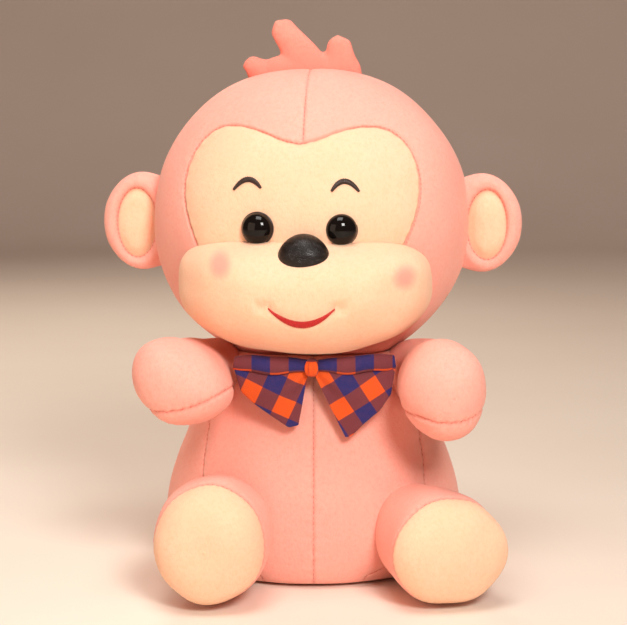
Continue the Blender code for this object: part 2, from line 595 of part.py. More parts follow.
def wing_shape(sign, top, bottom, cloth=1.0):
    """A loop of cloth: it leaves the knot in front, turns over at the outer edge and comes back behind."""
    top, bottom = np.array(top), np.array(bottom)
    root_top = KNOT + (sign * 4.6, 0.0, 3.2)
    root_bottom = KNOT + (sign * 4.6, 0.0, -3.2)
    run = np.linspace(0, 1, 7)
    gape = 1.0 + 1.7 * np.sin(math.pi * run * 0.92) ** 0.8
    rings = []
    for v in np.linspace(0, 1, 6):
        root = root_top * (1 - v) + root_bottom * v
        tip = top * (1 - v) + bottom * v + np.array([sign * 2.5, 0, -2.0]) * math.sin(math.pi * v)
        middle = root + (tip - root) * run[:, None]
        front, back = middle.copy(), middle.copy()
        front[:, 1] -= gape
        back[:, 1] += gape
        inside_front, inside_back = front[:-1].copy(), back[:-1].copy()
        inside_front[:, 1] += cloth * 0.8
        inside_back[:, 1] -= cloth * 0.8
        rings.append(np.vstack([front, back[::-1], inside_back, inside_front[::-1]]))
    rings = np.array(rings)
    count, around = rings.shape[:2]
    faces = [
        (i * around + j, i * around + (j + 1) % around, (i + 1) * around + (j + 1) % around, (i + 1) * around + j)
        for i in range(count - 1)
        for j in range(around)
    ]
    inner = len(run) - 1
    for end, base in ((0, 0), (1, (count - 1) * around)):
        front = [base + j for j in range(inner + 1)]
        back = [base + 2 * inner + 1 - j for j in range(inner + 1)]
        inside_back = [base + 2 * inner + 2 + j for j in range(inner)]
        inside_front = [base + around - 1 - j for j in range(inner)]
        strips = []
        for j in range(inner - 1):
            strips.append((front[j], front[j + 1], inside_front[j + 1], inside_front[j]))
            strips.append((back[j], back[j + 1], inside_back[j + 1], inside_back[j]))
        strips.append((front[inner - 1], front[inner], inside_front[inner - 1]))
        strips.append((back[inner - 1], back[inner], inside_back[inner - 1]))
        strips.append((front[inner], back[inner], inside_back[inner - 1], inside_front[inner - 1]))
        faces += strips
    return rings.reshape(-1, 3), faces


for side, sign in (("left", 1), ("right", -1)):
    mesh_object(f"bow_wing_{side}", wing_shape(sign, *WINGS[side]), None, "check_cloth")
knot = mesh_object("bow_knot", ellipsoid(KNOT, (4.2, 6.5, 5.6), 14, 9, 2.8), None, "check_cloth")
chest = mesh_object("cut_chest", torso_shape(GAP))
boolean(knot, chest)
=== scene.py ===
import math

import bpy
import numpy as np
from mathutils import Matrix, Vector


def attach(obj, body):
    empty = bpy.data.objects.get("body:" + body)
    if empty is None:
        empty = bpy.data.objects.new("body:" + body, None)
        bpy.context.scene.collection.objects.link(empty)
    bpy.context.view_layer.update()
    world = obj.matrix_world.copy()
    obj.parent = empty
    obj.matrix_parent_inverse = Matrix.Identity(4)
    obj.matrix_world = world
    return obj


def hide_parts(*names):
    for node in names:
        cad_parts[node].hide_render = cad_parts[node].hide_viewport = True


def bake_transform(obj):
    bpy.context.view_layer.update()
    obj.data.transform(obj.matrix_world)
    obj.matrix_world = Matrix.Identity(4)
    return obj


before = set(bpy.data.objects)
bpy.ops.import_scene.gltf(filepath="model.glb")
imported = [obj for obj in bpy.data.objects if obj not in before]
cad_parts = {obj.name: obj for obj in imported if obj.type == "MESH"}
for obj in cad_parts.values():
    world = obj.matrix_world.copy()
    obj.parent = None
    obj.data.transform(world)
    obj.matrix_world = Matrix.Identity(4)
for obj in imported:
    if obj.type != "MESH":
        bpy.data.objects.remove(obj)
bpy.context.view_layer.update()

# ---------------------------------------------------------------- body cover
# Four panels of short-pile plush, sewn down the front, the back and two side seams that lean forward from the
# armhole to the leg, over a ball of polyester fibre. The head presses a dish into its top.


def mesh_piece(name, points, faces, seam=None, uv=None):
    """A smooth-shaded object at the origin. points are in millimetres; faces is a list of arrays of corner numbers;
    seam is a number for each point, 1 on a seam and 0 away from it; uv gives each point its place on the flat
    cloth in millimetres. The faces are turned over together if the volume they enclose comes out negative."""
    points = np.asarray(points, float)
    used, renumbered = np.unique(np.concatenate([f.ravel() for f in faces]), return_inverse=True)
    splits = np.cumsum([f.size for f in faces])[:-1]
    faces = [part.reshape(f.shape) for part, f in zip(np.split(renumbered, splits), faces)]
    points = points[used]
    middle = points.mean(axis=0)
    volume = 0.0
    for f in faces:
        corner = points[f] - middle
        for k in range(1, f.shape[1] - 1):
            volume += np.einsum("ij,ij->", corner[:, 0], np.cross(corner[:, k], corner[:, k + 1]))
    if volume < 0:
        faces = [f[:, ::-1] for f in faces]
    mesh = bpy.data.meshes.new(name)
    mesh.from_pydata((points * 0.001).tolist(), [], [row for f in faces for row in f.tolist()])
    mesh.polygons.foreach_set("use_smooth", np.ones(len(mesh.polygons), bool))
    if seam is not None:
        values = np.asarray(seam, np.float32).ravel()[used]
        mesh.attributes.new("seam", "FLOAT", "POINT").data.foreach_set("value", values)
    if uv is not None:
        corners = np.empty(len(mesh.loops), np.int32)
        mesh.loops.foreach_get("vertex_index", corners)
        flat = np.asarray(uv, float).reshape(-1, 2)[used][corners]
        mesh.uv_layers.new(name="cloth").data.foreach_set("uv", flat.ravel())
    mesh.update()
    piece = bpy.data.objects.new(name, mesh)
    bpy.context.scene.collection.objects.link(piece)
    return piece


def grid_faces(rows, around, closed=True, first_pole=False, last_pole=False, start=0):
    """Corner numbers of the quads of a grid of points, numbered row by row. closed joins the last column to the
    first, and a pole is a row drawn together in its first point, with triangles round it."""
    number = start + np.arange(rows * around).reshape(rows, around)
    here = number if closed else number[:, :-1]
    beside = np.roll(number, -1, 1) if closed else number[:, 1:]
    low, high = int(first_pole), rows - 1 - int(last_pole)
    quads = np.stack([here[low:high], beside[low:high], beside[low + 1 : high + 1], here[low + 1 : high + 1]], -1)
    faces = [quads.reshape(-1, 4)]
    if first_pole:
        pole = np.full(here.shape[1], number[0, 0])
        faces.append(np.stack([pole, beside[1], here[1]], -1))
    if last_pole:
        pole = np.full(here.shape[1], number[-1, 0])
        faces.append(np.stack([here[-2], beside[-2], pole], -1))
    return faces


def grid_piece(name, points, seam=None, uv=None, **grid):
    """A mesh piece from a grid of points. grid says how it closes."""
    uv = None if uv is None else np.asarray(uv).reshape(-1, 2)
    return mesh_piece(name, points.reshape(-1, 3), grid_faces(*points.shape[:2], **grid), seam=seam, uv=uv)


def smooth_rows(rows, steps):
    """rows resampled on a smooth curve: a cubic through each pair, whose slope at a row is its neighbours' mean and
    whose parameter is the distance along the first three columns."""
    rows = np.asarray(rows, float)
    at = distance_along(rows[:, :3])
    slope = np.gradient(rows, at, axis=0)
    new = np.linspace(0, at[-1], steps)
    i = np.clip(np.searchsorted(at, new, side="right") - 1, 0, len(rows) - 2)
    h = (at[i + 1] - at[i])[:, None]
    t = (new - at[i])[:, None] / h
    return (
        (1 + 2 * t) * (1 - t) ** 2 * rows[i] + t * (1 - t) ** 2 * h * slope[i]
        + t**2 * (3 - 2 * t) * rows[i + 1] + t**2 * (t - 1) * h * slope[i + 1]
    )


def distance_along(path):
    """How far along a path each of its points lies."""
    return np.concatenate([[0], np.cumsum(np.linalg.norm(np.diff(path, axis=0), axis=1))])


def sampled(where, at, path):
    """The columns of a path at other distances along it."""
    return np.stack([np.interp(where, at, column) for column in np.asarray(path).T], -1)


def graded(steps, fine=0.8):
    """Numbers from 0 to 1 that lie closer together at both ends: u less fine times sin(2 pi u) over 2 pi."""
    u = np.linspace(0, 1, steps)
    return u - fine * np.sin(2 * math.pi * u) / (2 * math.pi)


def groove(distance, deep=0.75, narrow=0.9, wide=5.0):
    """How far cloth is drawn in, in millimetres, at a distance from a seam: a sharp fall at the thread and a wide
    soft one, each a bell curve."""
    return deep * np.exp(-((distance / narrow) ** 2)) + 0.55 * deep * np.exp(-((distance / wide) ** 2))


def lumps(points, size, high, seed):
    """Soft unevenness of the filling: the mean of eight sine waves of about that wavelength, in directions drawn from
    the seed."""
    draw = np.random.default_rng(seed)
    wave = draw.normal(size=(8, 3))
    wave *= (2 * math.pi / size / np.linalg.norm(wave, axis=1) * draw.uniform(0.7, 1.3, 8))[:, None]
    return high * np.sin(points @ wave.T + draw.uniform(0, 2 * math.pi, 8)).mean(axis=-1) * 1.6


def linear(colour):
    """An sRGB hex colour as linear RGBA."""
    srgb = np.array([int(colour[i : i + 2], 16) for i in (1, 3, 5)]) / 255
    rgb = np.where(srgb <= 0.04045, srgb / 12.92, ((srgb + 0.055) / 1.055) ** 2.4)
    return (*rgb.tolist(), 1.0)


def add(tree, kind, inputs=(), **settings):
    """Adds one node. settings are its own properties, and inputs maps a socket's name or number to a value, or to the
    output that feeds it."""
    node = tree.nodes.new("ShaderNode" + kind)
    for key, value in settings.items():
        setattr(node, key, value)
    for key, value in dict(inputs).items():
        if isinstance(value, bpy.types.NodeSocket):
            tree.links.new(value, node.inputs[key])
        else:
            node.inputs[key].default_value = value
    return node


def new_material(name):
    """An empty node material and its tree."""
    material = bpy.data.materials.new(name)
    material.use_nodes = True
    material.node_tree.nodes.clear()
    return material, material.node_tree


def surface(tree, colour, rough, **inputs):
    """Closes a material with the shader that shows its surface. An input's name has _ for each space."""
    named = {key.replace("_", " "): value for key, value in inputs.items()}
    shader = add(tree, "BsdfPrincipled", {"Base Color": colour.outputs[2], "Roughness": rough, **named})
    add(tree, "OutputMaterial", {"Surface": shader.outputs[0]})


def two_tone(tree, factor, first, second):
    """A mix of two colours, each a hex string or the socket that gives it."""
    ends = {key: linear(end) if isinstance(end, str) else end for key, end in ((6, first), (7, second))}
    return add(tree, "Mix", {0: factor, **ends}, data_type="RGBA")


def short_plush(name, lit, hollow, seam, sheen):
    """Knitted polyester with a dense cut pile 1.5 mm long. It gives the eye a soft, matt, slightly clumped nap, a
    pale bloom at grazing angles, patches where the pile lies another way, and painted shade in hollows and seams."""
    material, tree = new_material(name)
    place = add(tree, "TexCoord").outputs["Object"]
    brushed = add(tree, "TexNoise", {"Vector": place, "Scale": 1 / 0.022, "Detail": 2.0, "Roughness": 0.5})
    clumps = add(tree, "TexNoise", {"Vector": place, "Scale": 1 / 0.0021, "Detail": 3.0, "Roughness": 0.65})
    # Single fibres are 0.03 mm across, too fine to show, so they are drawn as tufts 0.7 mm across.
    laid = add(tree, "Mapping", {"Vector": place, "Scale": (1.0, 1.0, 0.45)})
    tufts = add(tree, "TexNoise", {"Vector": laid.outputs[0], "Scale": 1 / 0.0007, "Detail": 2.0, "Roughness": 0.6})
    depth = add(tree, "Math", {0: clumps.outputs[0], 1: 0.55}, operation="MULTIPLY")
    depth = add(tree, "Math", {0: tufts.outputs[0], 1: 0.45, 2: depth.outputs[0]}, operation="MULTIPLY_ADD")
    tone = add(tree, "MapRange", {"Value": brushed.outputs[0], 1: 0.3, 2: 0.7, 3: 0.0, 4: 0.22})
    # Painted shade: where the pile is low, between its clumps and tufts, the colour is drawn toward the darker hollow
    # colour.
    tone = add(tree, "MapRange", {"Value": depth.outputs[0], 1: 0.56, 2: 0.34, 3: tone.outputs[0], 4: 0.5})
    colour = two_tone(tree, tone.outputs[0], lit, hollow)
    # Painted shade: near a seam the colour is drawn toward the deeper seam colour, standing in for the shade in the
    # seam's crease.
    stitched = add(tree, "Attribute", attribute_name="seam")
    near = add(tree, "Math", {0: stitched.outputs["Fac"], 1: 0.45}, operation="MULTIPLY")
    colour = two_tone(tree, near.outputs[0], colour.outputs[2], seam)
    bump = add(tree, "Bump", {"Height": depth.outputs[0], "Strength": 0.4, "Distance": 0.0008})
    surface(tree, colour, 0.88, Normal=bump.outputs[0], Specular_IOR_Level=0.18, Sheen_Weight=0.2,
            Sheen_Roughness=0.45, Sheen_Tint=linear(sheen), Subsurface_Weight=0.3, Subsurface_Radius=(1.0, 0.42, 0.3),
            Subsurface_Scale=0.006)
    return material


pink_plush = short_plush("pink short-pile plush", "#F9B3A2", "#F3978A", "#EA8B7B", "#FFD0C0")


def finish_piece(piece, material, body, replaced=()):
    """Gives a piece its material and the body that carries it, and hides the solids it stands for."""
    piece.data.materials.append(material)
    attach(piece, body)
    if replaced:
        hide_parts(*replaced)
    return piece


HEAD_SEMI = np.array([80.0, 68.0, 76.5])
HEAD_POWER = 2.08
HEAD_MIDDLE = np.array([-1.0, 0.0, 179.0])
BODY_ROWS = [  # height, half width, half depth
    (0.3, 56, 46), (0.9, 63, 52.5), (3.2, 69.5, 58), (8.5, 74, 61.2), (18, 76.5, 63), (30, 76.8, 63.3), (42, 75, 62),
    (56, 71, 59), (70, 65.5, 55), (84, 60.5, 51.3), (98, 55.8, 47.8), (108, 51.8, 44.6), (116, 47.2, 40.6),
    (123, 40, 34.5), (128, 28, 24), (131, 12, 10),
]


def under_head(x, y, clear):
    """Height of the underside of the head over a point of the body, less a clearance; far above it past its edge."""
    inside = 1 - np.abs((x - HEAD_MIDDLE[0]) / HEAD_SEMI[0]) ** HEAD_POWER - np.abs(y / HEAD_SEMI[1]) ** HEAD_POWER
    low = HEAD_MIDDLE[2] - HEAD_SEMI[2] * np.maximum(inside, 0) ** (1 / HEAD_POWER) - clear
    return np.where(inside > 0, low, 400.0)


def body_surface(angle, row, edge=None):
    """A point of the body: an oval section of the row's half width and depth, drawn in beside its seams by edge, with
    the soft unevenness of the filling, and its height kept under the head by a smooth minimum."""
    high, wide, deep = (row[..., k] + 0 * angle for k in range(3))
    out = np.stack([np.cos(angle), np.sin(angle)], -1)
    x, y = wide * out[..., 0], deep * out[..., 1]
    away = np.hypot(x, y)
    swell = lumps(np.stack([x, y, high], -1), 34.0, 0.9, 3) - (0 if edge is None else edge)
    x, y = x * (1 + swell / np.maximum(away, 8)), y * (1 + swell / np.maximum(away, 8))
    roof = under_head(x, y, 1.4)
    high = -np.log(np.exp(-0.45 * (high - 110)) + np.exp(-0.45 * np.minimum(roof - 110, 60))) / 0.45 + 110
    return np.stack([x, y, high], -1)


def side_seam_angle(row):
    """Where the side seam, which lies on a plane that leans forward, meets a section: y = 0.38 z - 58."""
    return np.arcsin(np.clip((-58.0 + 0.38 * row[..., 0]) / row[..., 2], -0.93, 0.93))


body_rows = smooth_rows(BODY_ROWS, 170)
body_along = distance_along(body_rows)
across = graded(92, 0.75)
for side in ("left", "right"):
    for part, from_angle, to_angle in (
        ("front", -np.pi / 2, side_seam_angle(body_rows)), ("back", side_seam_angle(body_rows), np.pi / 2),
    ):
        from_angle = np.broadcast_to(from_angle, len(body_rows))[:, None]
        to_angle = np.broadcast_to(to_angle, len(body_rows))[:, None]
        row = body_rows[:, None, :]
        angle = from_angle + (to_angle - from_angle) * across
        girth = (row[..., 1] + row[..., 2]) / 2
        near = np.minimum(angle - from_angle, to_angle - angle) * girth
        pucker = 0.22 * np.sin(2 * np.pi * body_along[:, None] / 6.5 + 2.0) * np.exp(-((near / 4.0) ** 2))
        edge = groove(near, 0.5, 0.8) + pucker + groove(body_along[:, None] - 10.0, 0.5)
        points = body_surface(angle, row, edge)
        tucked = 1 - 4.0 / np.maximum(np.hypot(points[..., 0], points[..., 1]), 8.0)
        hem = [points[:, [i]] * np.stack([tucked[:, [i]]] * 2 + [np.ones((len(row), 1))], -1) for i in (0, -1)]
        points = np.concatenate([hem[0], points, hem[1]], axis=1)
        seam = np.exp(-((near / 1.0) ** 2)) * 0.5
        seam = np.concatenate([seam[:, :1], seam, seam[:, -1:]], axis=1)
        if side == "right":
            points = points * (-1, 1, 1)
        panel = grid_piece(f"body_{part}_panel_{side}", points, seam, closed=False)
        nodes = [f"torso_{part}_{side}"] + (["torso_stuffing"] if (side, part) == ("left", "front") else [])
        finish_piece(panel, pink_plush, "torso", nodes)

# ---------------------------------------------------------------- body base
# The flat oval of plush that the toy sits on, sewn inside the lower edge of the four panels. It is pressed flat.
turn = np.linspace(0, 2 * np.pi, 160, endpoint=False)
ring = np.array([0.0, 0.25, 0.5, 0.72, 0.86, 0.94, 0.98, 1.0, 1.01])
drop = np.array([0.9, 0.8, 0.6, 0.45, 0.35, 0.4, 0.7, 1.6, 3.0])
points = np.stack([
    57.5 * ring[:, None] * np.cos(turn), 47.5 * ring[:, None] * np.sin(turn), np.repeat(drop[:, None], len(turn), 1),
], -1)
base = grid_piece("body_base", points, first_pole=True)
if base.data.polygons[0].normal.z > 0:
    base.data.flip_normals()
finish_piece(base, pink_plush, "torso", ["torso_base"])

# ---------------------------------------------------------------- seam stitches
# Polyester thread, a shade darker than the plush, that shows as a row of short tight stitches sunk in each seam.
stitch_thread, tree = new_material("spun polyester sewing thread, dark pink")
place = add(tree, "TexCoord").outputs["Object"]
# Two plies twisted every 1.2 mm, drawn as soft bands whose grooves are painted darker as shade.
ply = add(tree, "TexWave", {"Vector": place, "Scale": 1 / 0.0024, "Distortion": 1.0}, bands_direction="DIAGONAL")
colour = two_tone(tree, ply.outputs["Fac"], "#DB7868", "#EB9381")
bump = add(tree, "Bump", {"Height": ply.outputs["Fac"], "Strength": 0.5, "Distance": 0.0001})
surface(tree, colour, 0.6, Normal=bump.outputs[0], Sheen_Weight=0.2, Specular_IOR_Level=0.35)


def stitches(path, outward, pitch=2.6, length=1.7, thick=0.17):
    """(points, faces) of a row of stitches: a path resampled at the pitch, with a bent capsule of 6 sides and 5 rings
    laid along it at each place, its middle lifted outward."""
    path, outward = np.asarray(path, float), np.asarray(outward, float)
    at = distance_along(path)
    count = max(int(at[-1] / pitch), 2)
    where = (np.arange(count) + 0.5) * at[-1] / count
    spot = sampled(where, at, path)
    ahead = sampled(where + 0.4, at, path) - sampled(where - 0.4, at, path)
    up = sampled(where, at, outward)
    ahead /= np.linalg.norm(ahead, axis=1)[:, None]
    up -= (up * ahead).sum(1)[:, None] * ahead
    up /= np.linalg.norm(up, axis=1)[:, None]
    wide = np.cross(ahead, up)
    s = np.array([-1, -0.82, -0.35, 0.35, 0.82, 1])
    size = np.array([0, 0.75, 1, 1, 0.75, 0]) * thick
    angle = np.arange(6) * np.pi / 3
    along = s[:, None] * length / 2 + 0 * angle
    side = size[:, None] * np.cos(angle)
    lift = size[:, None] * np.sin(angle) + (1 - s[:, None] ** 2) * thick
    points = (
        spot[:, None, None] + ahead[:, None, None] * along[..., None] + wide[:, None, None] * side[..., None]
        + up[:, None, None] * lift[..., None]
    ).reshape(-1, 3)
    one = grid_faces(6, 6, first_pole=True, last_pole=True)
    return points, [(f[None] + (np.arange(count) * 36)[:, None, None]).reshape(-1, f.shape[1]) for f in one]


def stitch_piece(name, rows, material, body):
    """One object from several rows of stitches."""
    points, faces, start = [], [], 0
    for row_points, row_faces in rows:
        points.append(row_points)
        faces += [f + start for f in row_faces]
        start += len(row_points)
    return finish_piece(mesh_piece(name, np.concatenate(points), faces), material, body)


sewn = body_rows[12:150]
rows = []
for sign, angle in ((1, np.full(len(sewn), -np.pi / 2)), (1, np.full(len(sewn), np.pi / 2)),
                    (1, side_seam_angle(sewn)), (-1, side_seam_angle(sewn))):
    line = body_surface(angle, sewn, 0.75 + 0 * angle) * (sign, 1, 1)
    out = np.stack([sign * np.cos(angle), np.sin(angle), 0.15 + 0 * angle], -1)
    rows.append(stitches(line, out))
stitch_piece("body_seam_stitches", rows, stitch_thread, "torso")

# ---------------------------------------------------------------- legs
# Two short stuffed legs: a pink plush tube sewn into the front of the body, closed by a cream plush sole that bulges
# under the filling. Each rests on the table, which flattens it a little underneath.
cream_plush = short_plush("cream short-pile plush", "#F9CCAC", "#F2B78F", "#EFAE90", "#FFE6CF")
LEG_ROWS = [(-26, 0, 0)] + [(-26 * math.cos(a), 26 * math.sin(a), 26 * math.sin(a)) for a in (0.5, 0.95, 1.3)] + [
    (0, 26, 26), (10, 27.0, 27.0), (22, 27.6, 27.6), (30, 27.2, 27.3), (36, 25.9, 26.0), (41, 23.0, 23.2),
    (44.6, 17.8, 18.0), (47, 10.5, 10.6), (48, 0, 0),
]
SOLE_SEAM = 32.0
LEG = {  # pivot, splay in degrees, share of width and of height, rise and sideways lean of the foot, slimmer hip
    "left": ((46.0, -62.0, 27.5), 20.0, 1.1, 0.99, 0.2, 9.0, 6.5),
    "right": ((-46.0, -62.0, 27.5), -3.0, 1.0, 1.1, 4.2, -2.2, 0.0),
}


def limb_surface(rows, angle, wide, tall, rise, lean, slim):
    """Points of a limb along -Y: an oval at each station whose half width and height come from the rows. At the hip
    its inner side is drawn in by twice the slim value."""
    station, rx, rz = rows[:, 0, None], rows[:, 1, None], rows[:, 2, None]
    hip = slim * (1 - np.clip((station + 2) / 36, 0, 1) ** 1.5)
    x = wide * rx * (1 - hip / 26) * np.cos(angle) + hip + lean * np.clip(station / 40, 0, 1.2)
    z = tall * rz * np.sin(angle) + rise * np.clip((station + 26) / 40, 0, 1)
    return np.stack([x, -station + 0 * x, z], -1)


def outward_of(points):
    """Unit normals of a closed grid, from the cross product of its two steps."""
    along = np.gradient(points, axis=0)
    around = (np.roll(points, -1, 1) - np.roll(points, 1, 1)) / 2
    normal = np.cross(around, along)
    normal /= np.maximum(np.linalg.norm(normal, axis=-1), 1e-9)[..., None]
    middle = points.mean(axis=(0, 1))
    return normal * np.sign(np.einsum("ijk,ijk->", normal, points - middle))


def put(points, pivot, degrees):
    """Points turned about Z by an angle and moved to a pivot."""
    c, s = math.cos(math.radians(degrees)), math.sin(math.radians(degrees))
    return np.stack([c * points[..., 0] - s * points[..., 1], s * points[..., 0] + c * points[..., 1],
                     points[..., 2]], -1) + np.asarray(pivot)


def rest_on_table(points, softness=2.2):
    """Points kept above the table by a smooth maximum, which leaves a flat patch."""
    z = points[..., 2]
    pressed = 0.4 + np.logaddexp(0.0, (z - 0.4) / softness) * softness
    points = points.copy()
    points[..., 2] = np.where(z > 14, z, pressed)
    return points


leg_rows = smooth_rows(LEG_ROWS, 130)
round_leg = np.linspace(0, 2 * np.pi, 200, endpoint=False)
for side, (pivot, splay, *shape) in LEG.items():
    points = limb_surface(leg_rows, round_leg, *shape)
    near = leg_rows[:, 0, None] - SOLE_SEAM
    pucker = 0.16 * np.sin(round_leg * 46) * np.exp(-((near / 3.0) ** 2))
    draw = groove(near, 0.8, 0.9, 4.0) + pucker - lumps(points + (0, 0, 90 if side == "left" else 0), 26.0, 0.8, 11)
    outward = outward_of(points)
    shaped = points - outward * draw[..., None]
    shaped[-1] = shaped[-1].mean(axis=0)
    seam = np.exp(-((near / 1.1) ** 2)) + 0 * round_leg
    world = rest_on_table(put(shaped, pivot, splay))
    tucked = rest_on_table(put(shaped - outward * 3.0, pivot, splay))
    cut = int(np.searchsorted(leg_rows[:, 0], SOLE_SEAM))
    cover = np.concatenate([world[: cut + 1], tucked[cut : cut + 1]])
    cover_seam = np.concatenate([seam[: cut + 1], seam[cut : cut + 1]])
    piece = grid_piece(f"{side}_leg_cover_plush", cover, cover_seam, first_pole=True)
    nodes = [f"{side}_leg_cover", f"{side}_leg_stuffing"]
    finish_piece(piece, pink_plush, f"{side}_leg", nodes)
    sole = np.concatenate([tucked[cut : cut + 1], world[cut:]])
    sole_seam = np.concatenate([seam[cut : cut + 1], seam[cut:]])
    piece = grid_piece(f"{side}_sole_plush", sole, sole_seam, last_pole=True)
    finish_piece(piece, cream_plush, f"{side}_leg", [f"{side}_sole"])
    loop = np.concatenate([world[cut], world[cut, :1]])
    loop_out = put(np.concatenate([outward[cut], outward[cut, :1]]), (0, 0, 0), splay)
    stitch_piece(f"{side}_sole_stitches", [stitches(loop + loop_out * 0.05, loop_out, 2.4, 1.5, 0.16)],
                 stitch_thread, f"{side}_leg")

# ---------------------------------------------------------------- arms
# Two stuffed arms that reach forward, each an upper and a lower plush panel sewn together along the sides and round
# the paw. The thread draws small puckers where it turns the tight curve of the paw.
ARM_ROWS = {  # station forward of the shoulder pivot, half width, half height, offset across and up
    "right": [
        (-27, 0, 0, 5, 0), (-25.5, 6.5, 7.5, 5, 0), (-21, 11.2, 12.8, 4, 0), (-13, 13.8, 16.0, 1.2, 0),
        (0, 15.8, 18.0, -3.0, 0.2),
        (12, 18.0, 18.8, -4.2, 0.6), (25, 21.2, 19.6, -4.6, 1.2), (37, 23.4, 20.0, -5.2, 1.8),
        (46, 22.2, 19.0, -5.8, 2),
        (52, 18.8, 16.2, -6, 2), (56.2, 12.9, 11.1, -6, 2), (58.2, 6.2, 5.4, -6, 2), (58.7, 0, 0, -6, 2),
    ],
    "left": [
        (-27, 0, 0, -5, 0), (-25.5, 6.5, 7.5, -5, 0), (-21, 11.2, 12.8, -4, 0), (-13, 13.6, 16.4, -1.0, 0),
        (0, 15.2, 18.8, 3.4, 0),
        (12, 17.0, 20.8, 4.4, -0.3), (25, 19.2, 22.8, 4.6, -0.6), (37, 20.2, 23.8, 4.9, -0.9),
        (46, 19.0, 22.5, 5.6, -1),
        (52, 16.0, 19.0, 6, -1), (56.2, 10.9, 12.9, 6, -1), (58.2, 5.1, 6.2, 6, -1), (58.7, 0, 0, 6, -1),
    ],
}
ARM = {  # pivot, splay, height of the paw seam, its fall towards the body, egg shape, tilt
    "left": ((52.0, -36.0, 103.0), 8.0, -13.5, -0.06, 0.05, 0.0),
    "right": ((-52.0, -36.0, 104.0), -8.0, -9.0, 0.22, 0.2, 0.2),
}
round_arm = np.linspace(0, 2 * np.pi, 170, endpoint=False)
for side, (pivot, splay, seam_z, fall, egg, tilt) in ARM.items():
    sign = 1 if side == "left" else -1
    rows = smooth_rows(ARM_ROWS[side], 125)
    station = rows[:, 0, None]
    # The paw is egg-shaped across: lower and narrower on the side towards the body.
    swollen = np.clip((station + 5) / 35, 0, 1)
    c, s = np.cos(round_arm), np.sin(round_arm)
    x = rows[:, 3, None] + rows[:, 1, None] * c
    inward = swollen * sign * c
    z = rows[:, 4, None] + rows[:, 2, None] * s * (1 + egg * inward) + tilt * inward * rows[:, 1, None]
    points = np.stack([x, -station + 0 * x, z], -1)
    outward = outward_of(points)
    aside = x - rows[:, 3, None]
    line = seam_z - fall * sign * aside + 0.012 * aside**2 * (1 if side == "left" else 0.6)
    near = (z - line) * np.maximum(np.sqrt(np.maximum(1 - outward[..., 2] ** 2, 0)), 0.25)
    reach = np.clip((station - 2) / 14, 0, 1)
    pucker = 0.3 * np.sin(2 * np.pi * (x - station) / 4.6) * np.exp(-((near / 2.6) ** 2))
    draw = (groove(near, 0.85, 0.8, 4.0) + pucker) * reach - lumps(points + (0, 0, 40 * sign), 24.0, 0.8, 21)
    shaped = points - outward * draw[..., None]
    shaped[-1] = shaped[-1].mean(axis=0)
    seam = np.exp(-((near / 0.9) ** 2)) * reach
    world = put(shaped, pivot, splay)
    piece = grid_piece(f"{side}_arm_cover", world, seam, first_pole=True, last_pole=True)
    piece.data.materials.append(pink_plush)
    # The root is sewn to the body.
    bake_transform(piece)
    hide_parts(f"{side}_arm_upper", f"{side}_arm_lower", f"{side}_arm_stuffing")
    # The seam line is where the height above it changes sign, found on each lengthwise line of the grid.
    rows_used = slice(30, 121)
    flips = np.diff(np.sign((z - line)[rows_used]), axis=1) != 0
    outer, inner = (flips & far for far in (c[1:] * sign > 0, c[1:] * sign <= 0))
    path, path_out = (
        np.concatenate([grid[rows_used, 1:][outer], grid[rows_used, 1:][inner][::-1]]) for grid in (world, outward)
    )
    path_out = put(path_out, (0, 0, 0), splay)
    stitch_piece(f"{side}_paw_stitches", [stitches(path + path_out * 0.05, path_out, 2.3, 1.5, 0.17)],
                 stitch_thread, f"{side}_arm")

# ---------------------------------------------------------------- tail
# A slim stuffed roll of the same plush, sewn into the low back, that curls up behind.
t = np.linspace(0, 1, 120)
bend = np.radians(np.interp(t, [0, 0.15, 0.6, 1.0], [0, 12, 88, 140]))
bend = np.convolve(np.pad(bend, 12, mode="edge"), np.ones(25) / 25, "valid")
step = 92.0 / 119
y = 64.0 - 6.0 + np.concatenate([[0], np.cumsum(step * np.cos(bend))[:-1]])
z = 26.0 + np.concatenate([[0], np.cumsum(step * np.sin(bend))[:-1]])
rounded_end = np.sqrt(np.clip(1 - ((t - 0.92) / 0.08).clip(0) ** 2, 0, 1))
radius = np.interp(t, [0, 0.07, 0.5, 0.9], [4.2, 7.0, 7.6, 7.0]) * rounded_end
angle = np.linspace(0, 2 * np.pi, 72, endpoint=False)
under = groove(np.minimum(np.abs(angle + np.pi / 2 - 2 * np.pi), 9) * 7.0, 0.7, 0.9, 3.0)
width = np.maximum(radius[:, None] - under * (radius[:, None] > 2), 0)
points = np.stack([
    width * np.cos(angle), y[:, None] - np.sin(bend)[:, None] * width * np.sin(angle),
    z[:, None] + np.cos(bend)[:, None] * width * np.sin(angle),
], -1)
outward = np.stack([np.cos(angle), 0 * angle, np.sin(angle)], -1)
points += lumps(points, 16.0, 0.35, 31)[..., None] * outward * (radius[:, None, None] > 3)
points[-1] = points[-1].mean(axis=0)
seam = np.exp(-((np.minimum(np.abs(angle - 1.5 * np.pi), 9) * 7.0) ** 2)) + 0 * radius[:, None]
tail = grid_piece("tail_cover_plush", points, seam, first_pole=True, last_pole=True)
finish_piece(tail, pink_plush, "tail", ["tail_cover", "tail_stuffing"])

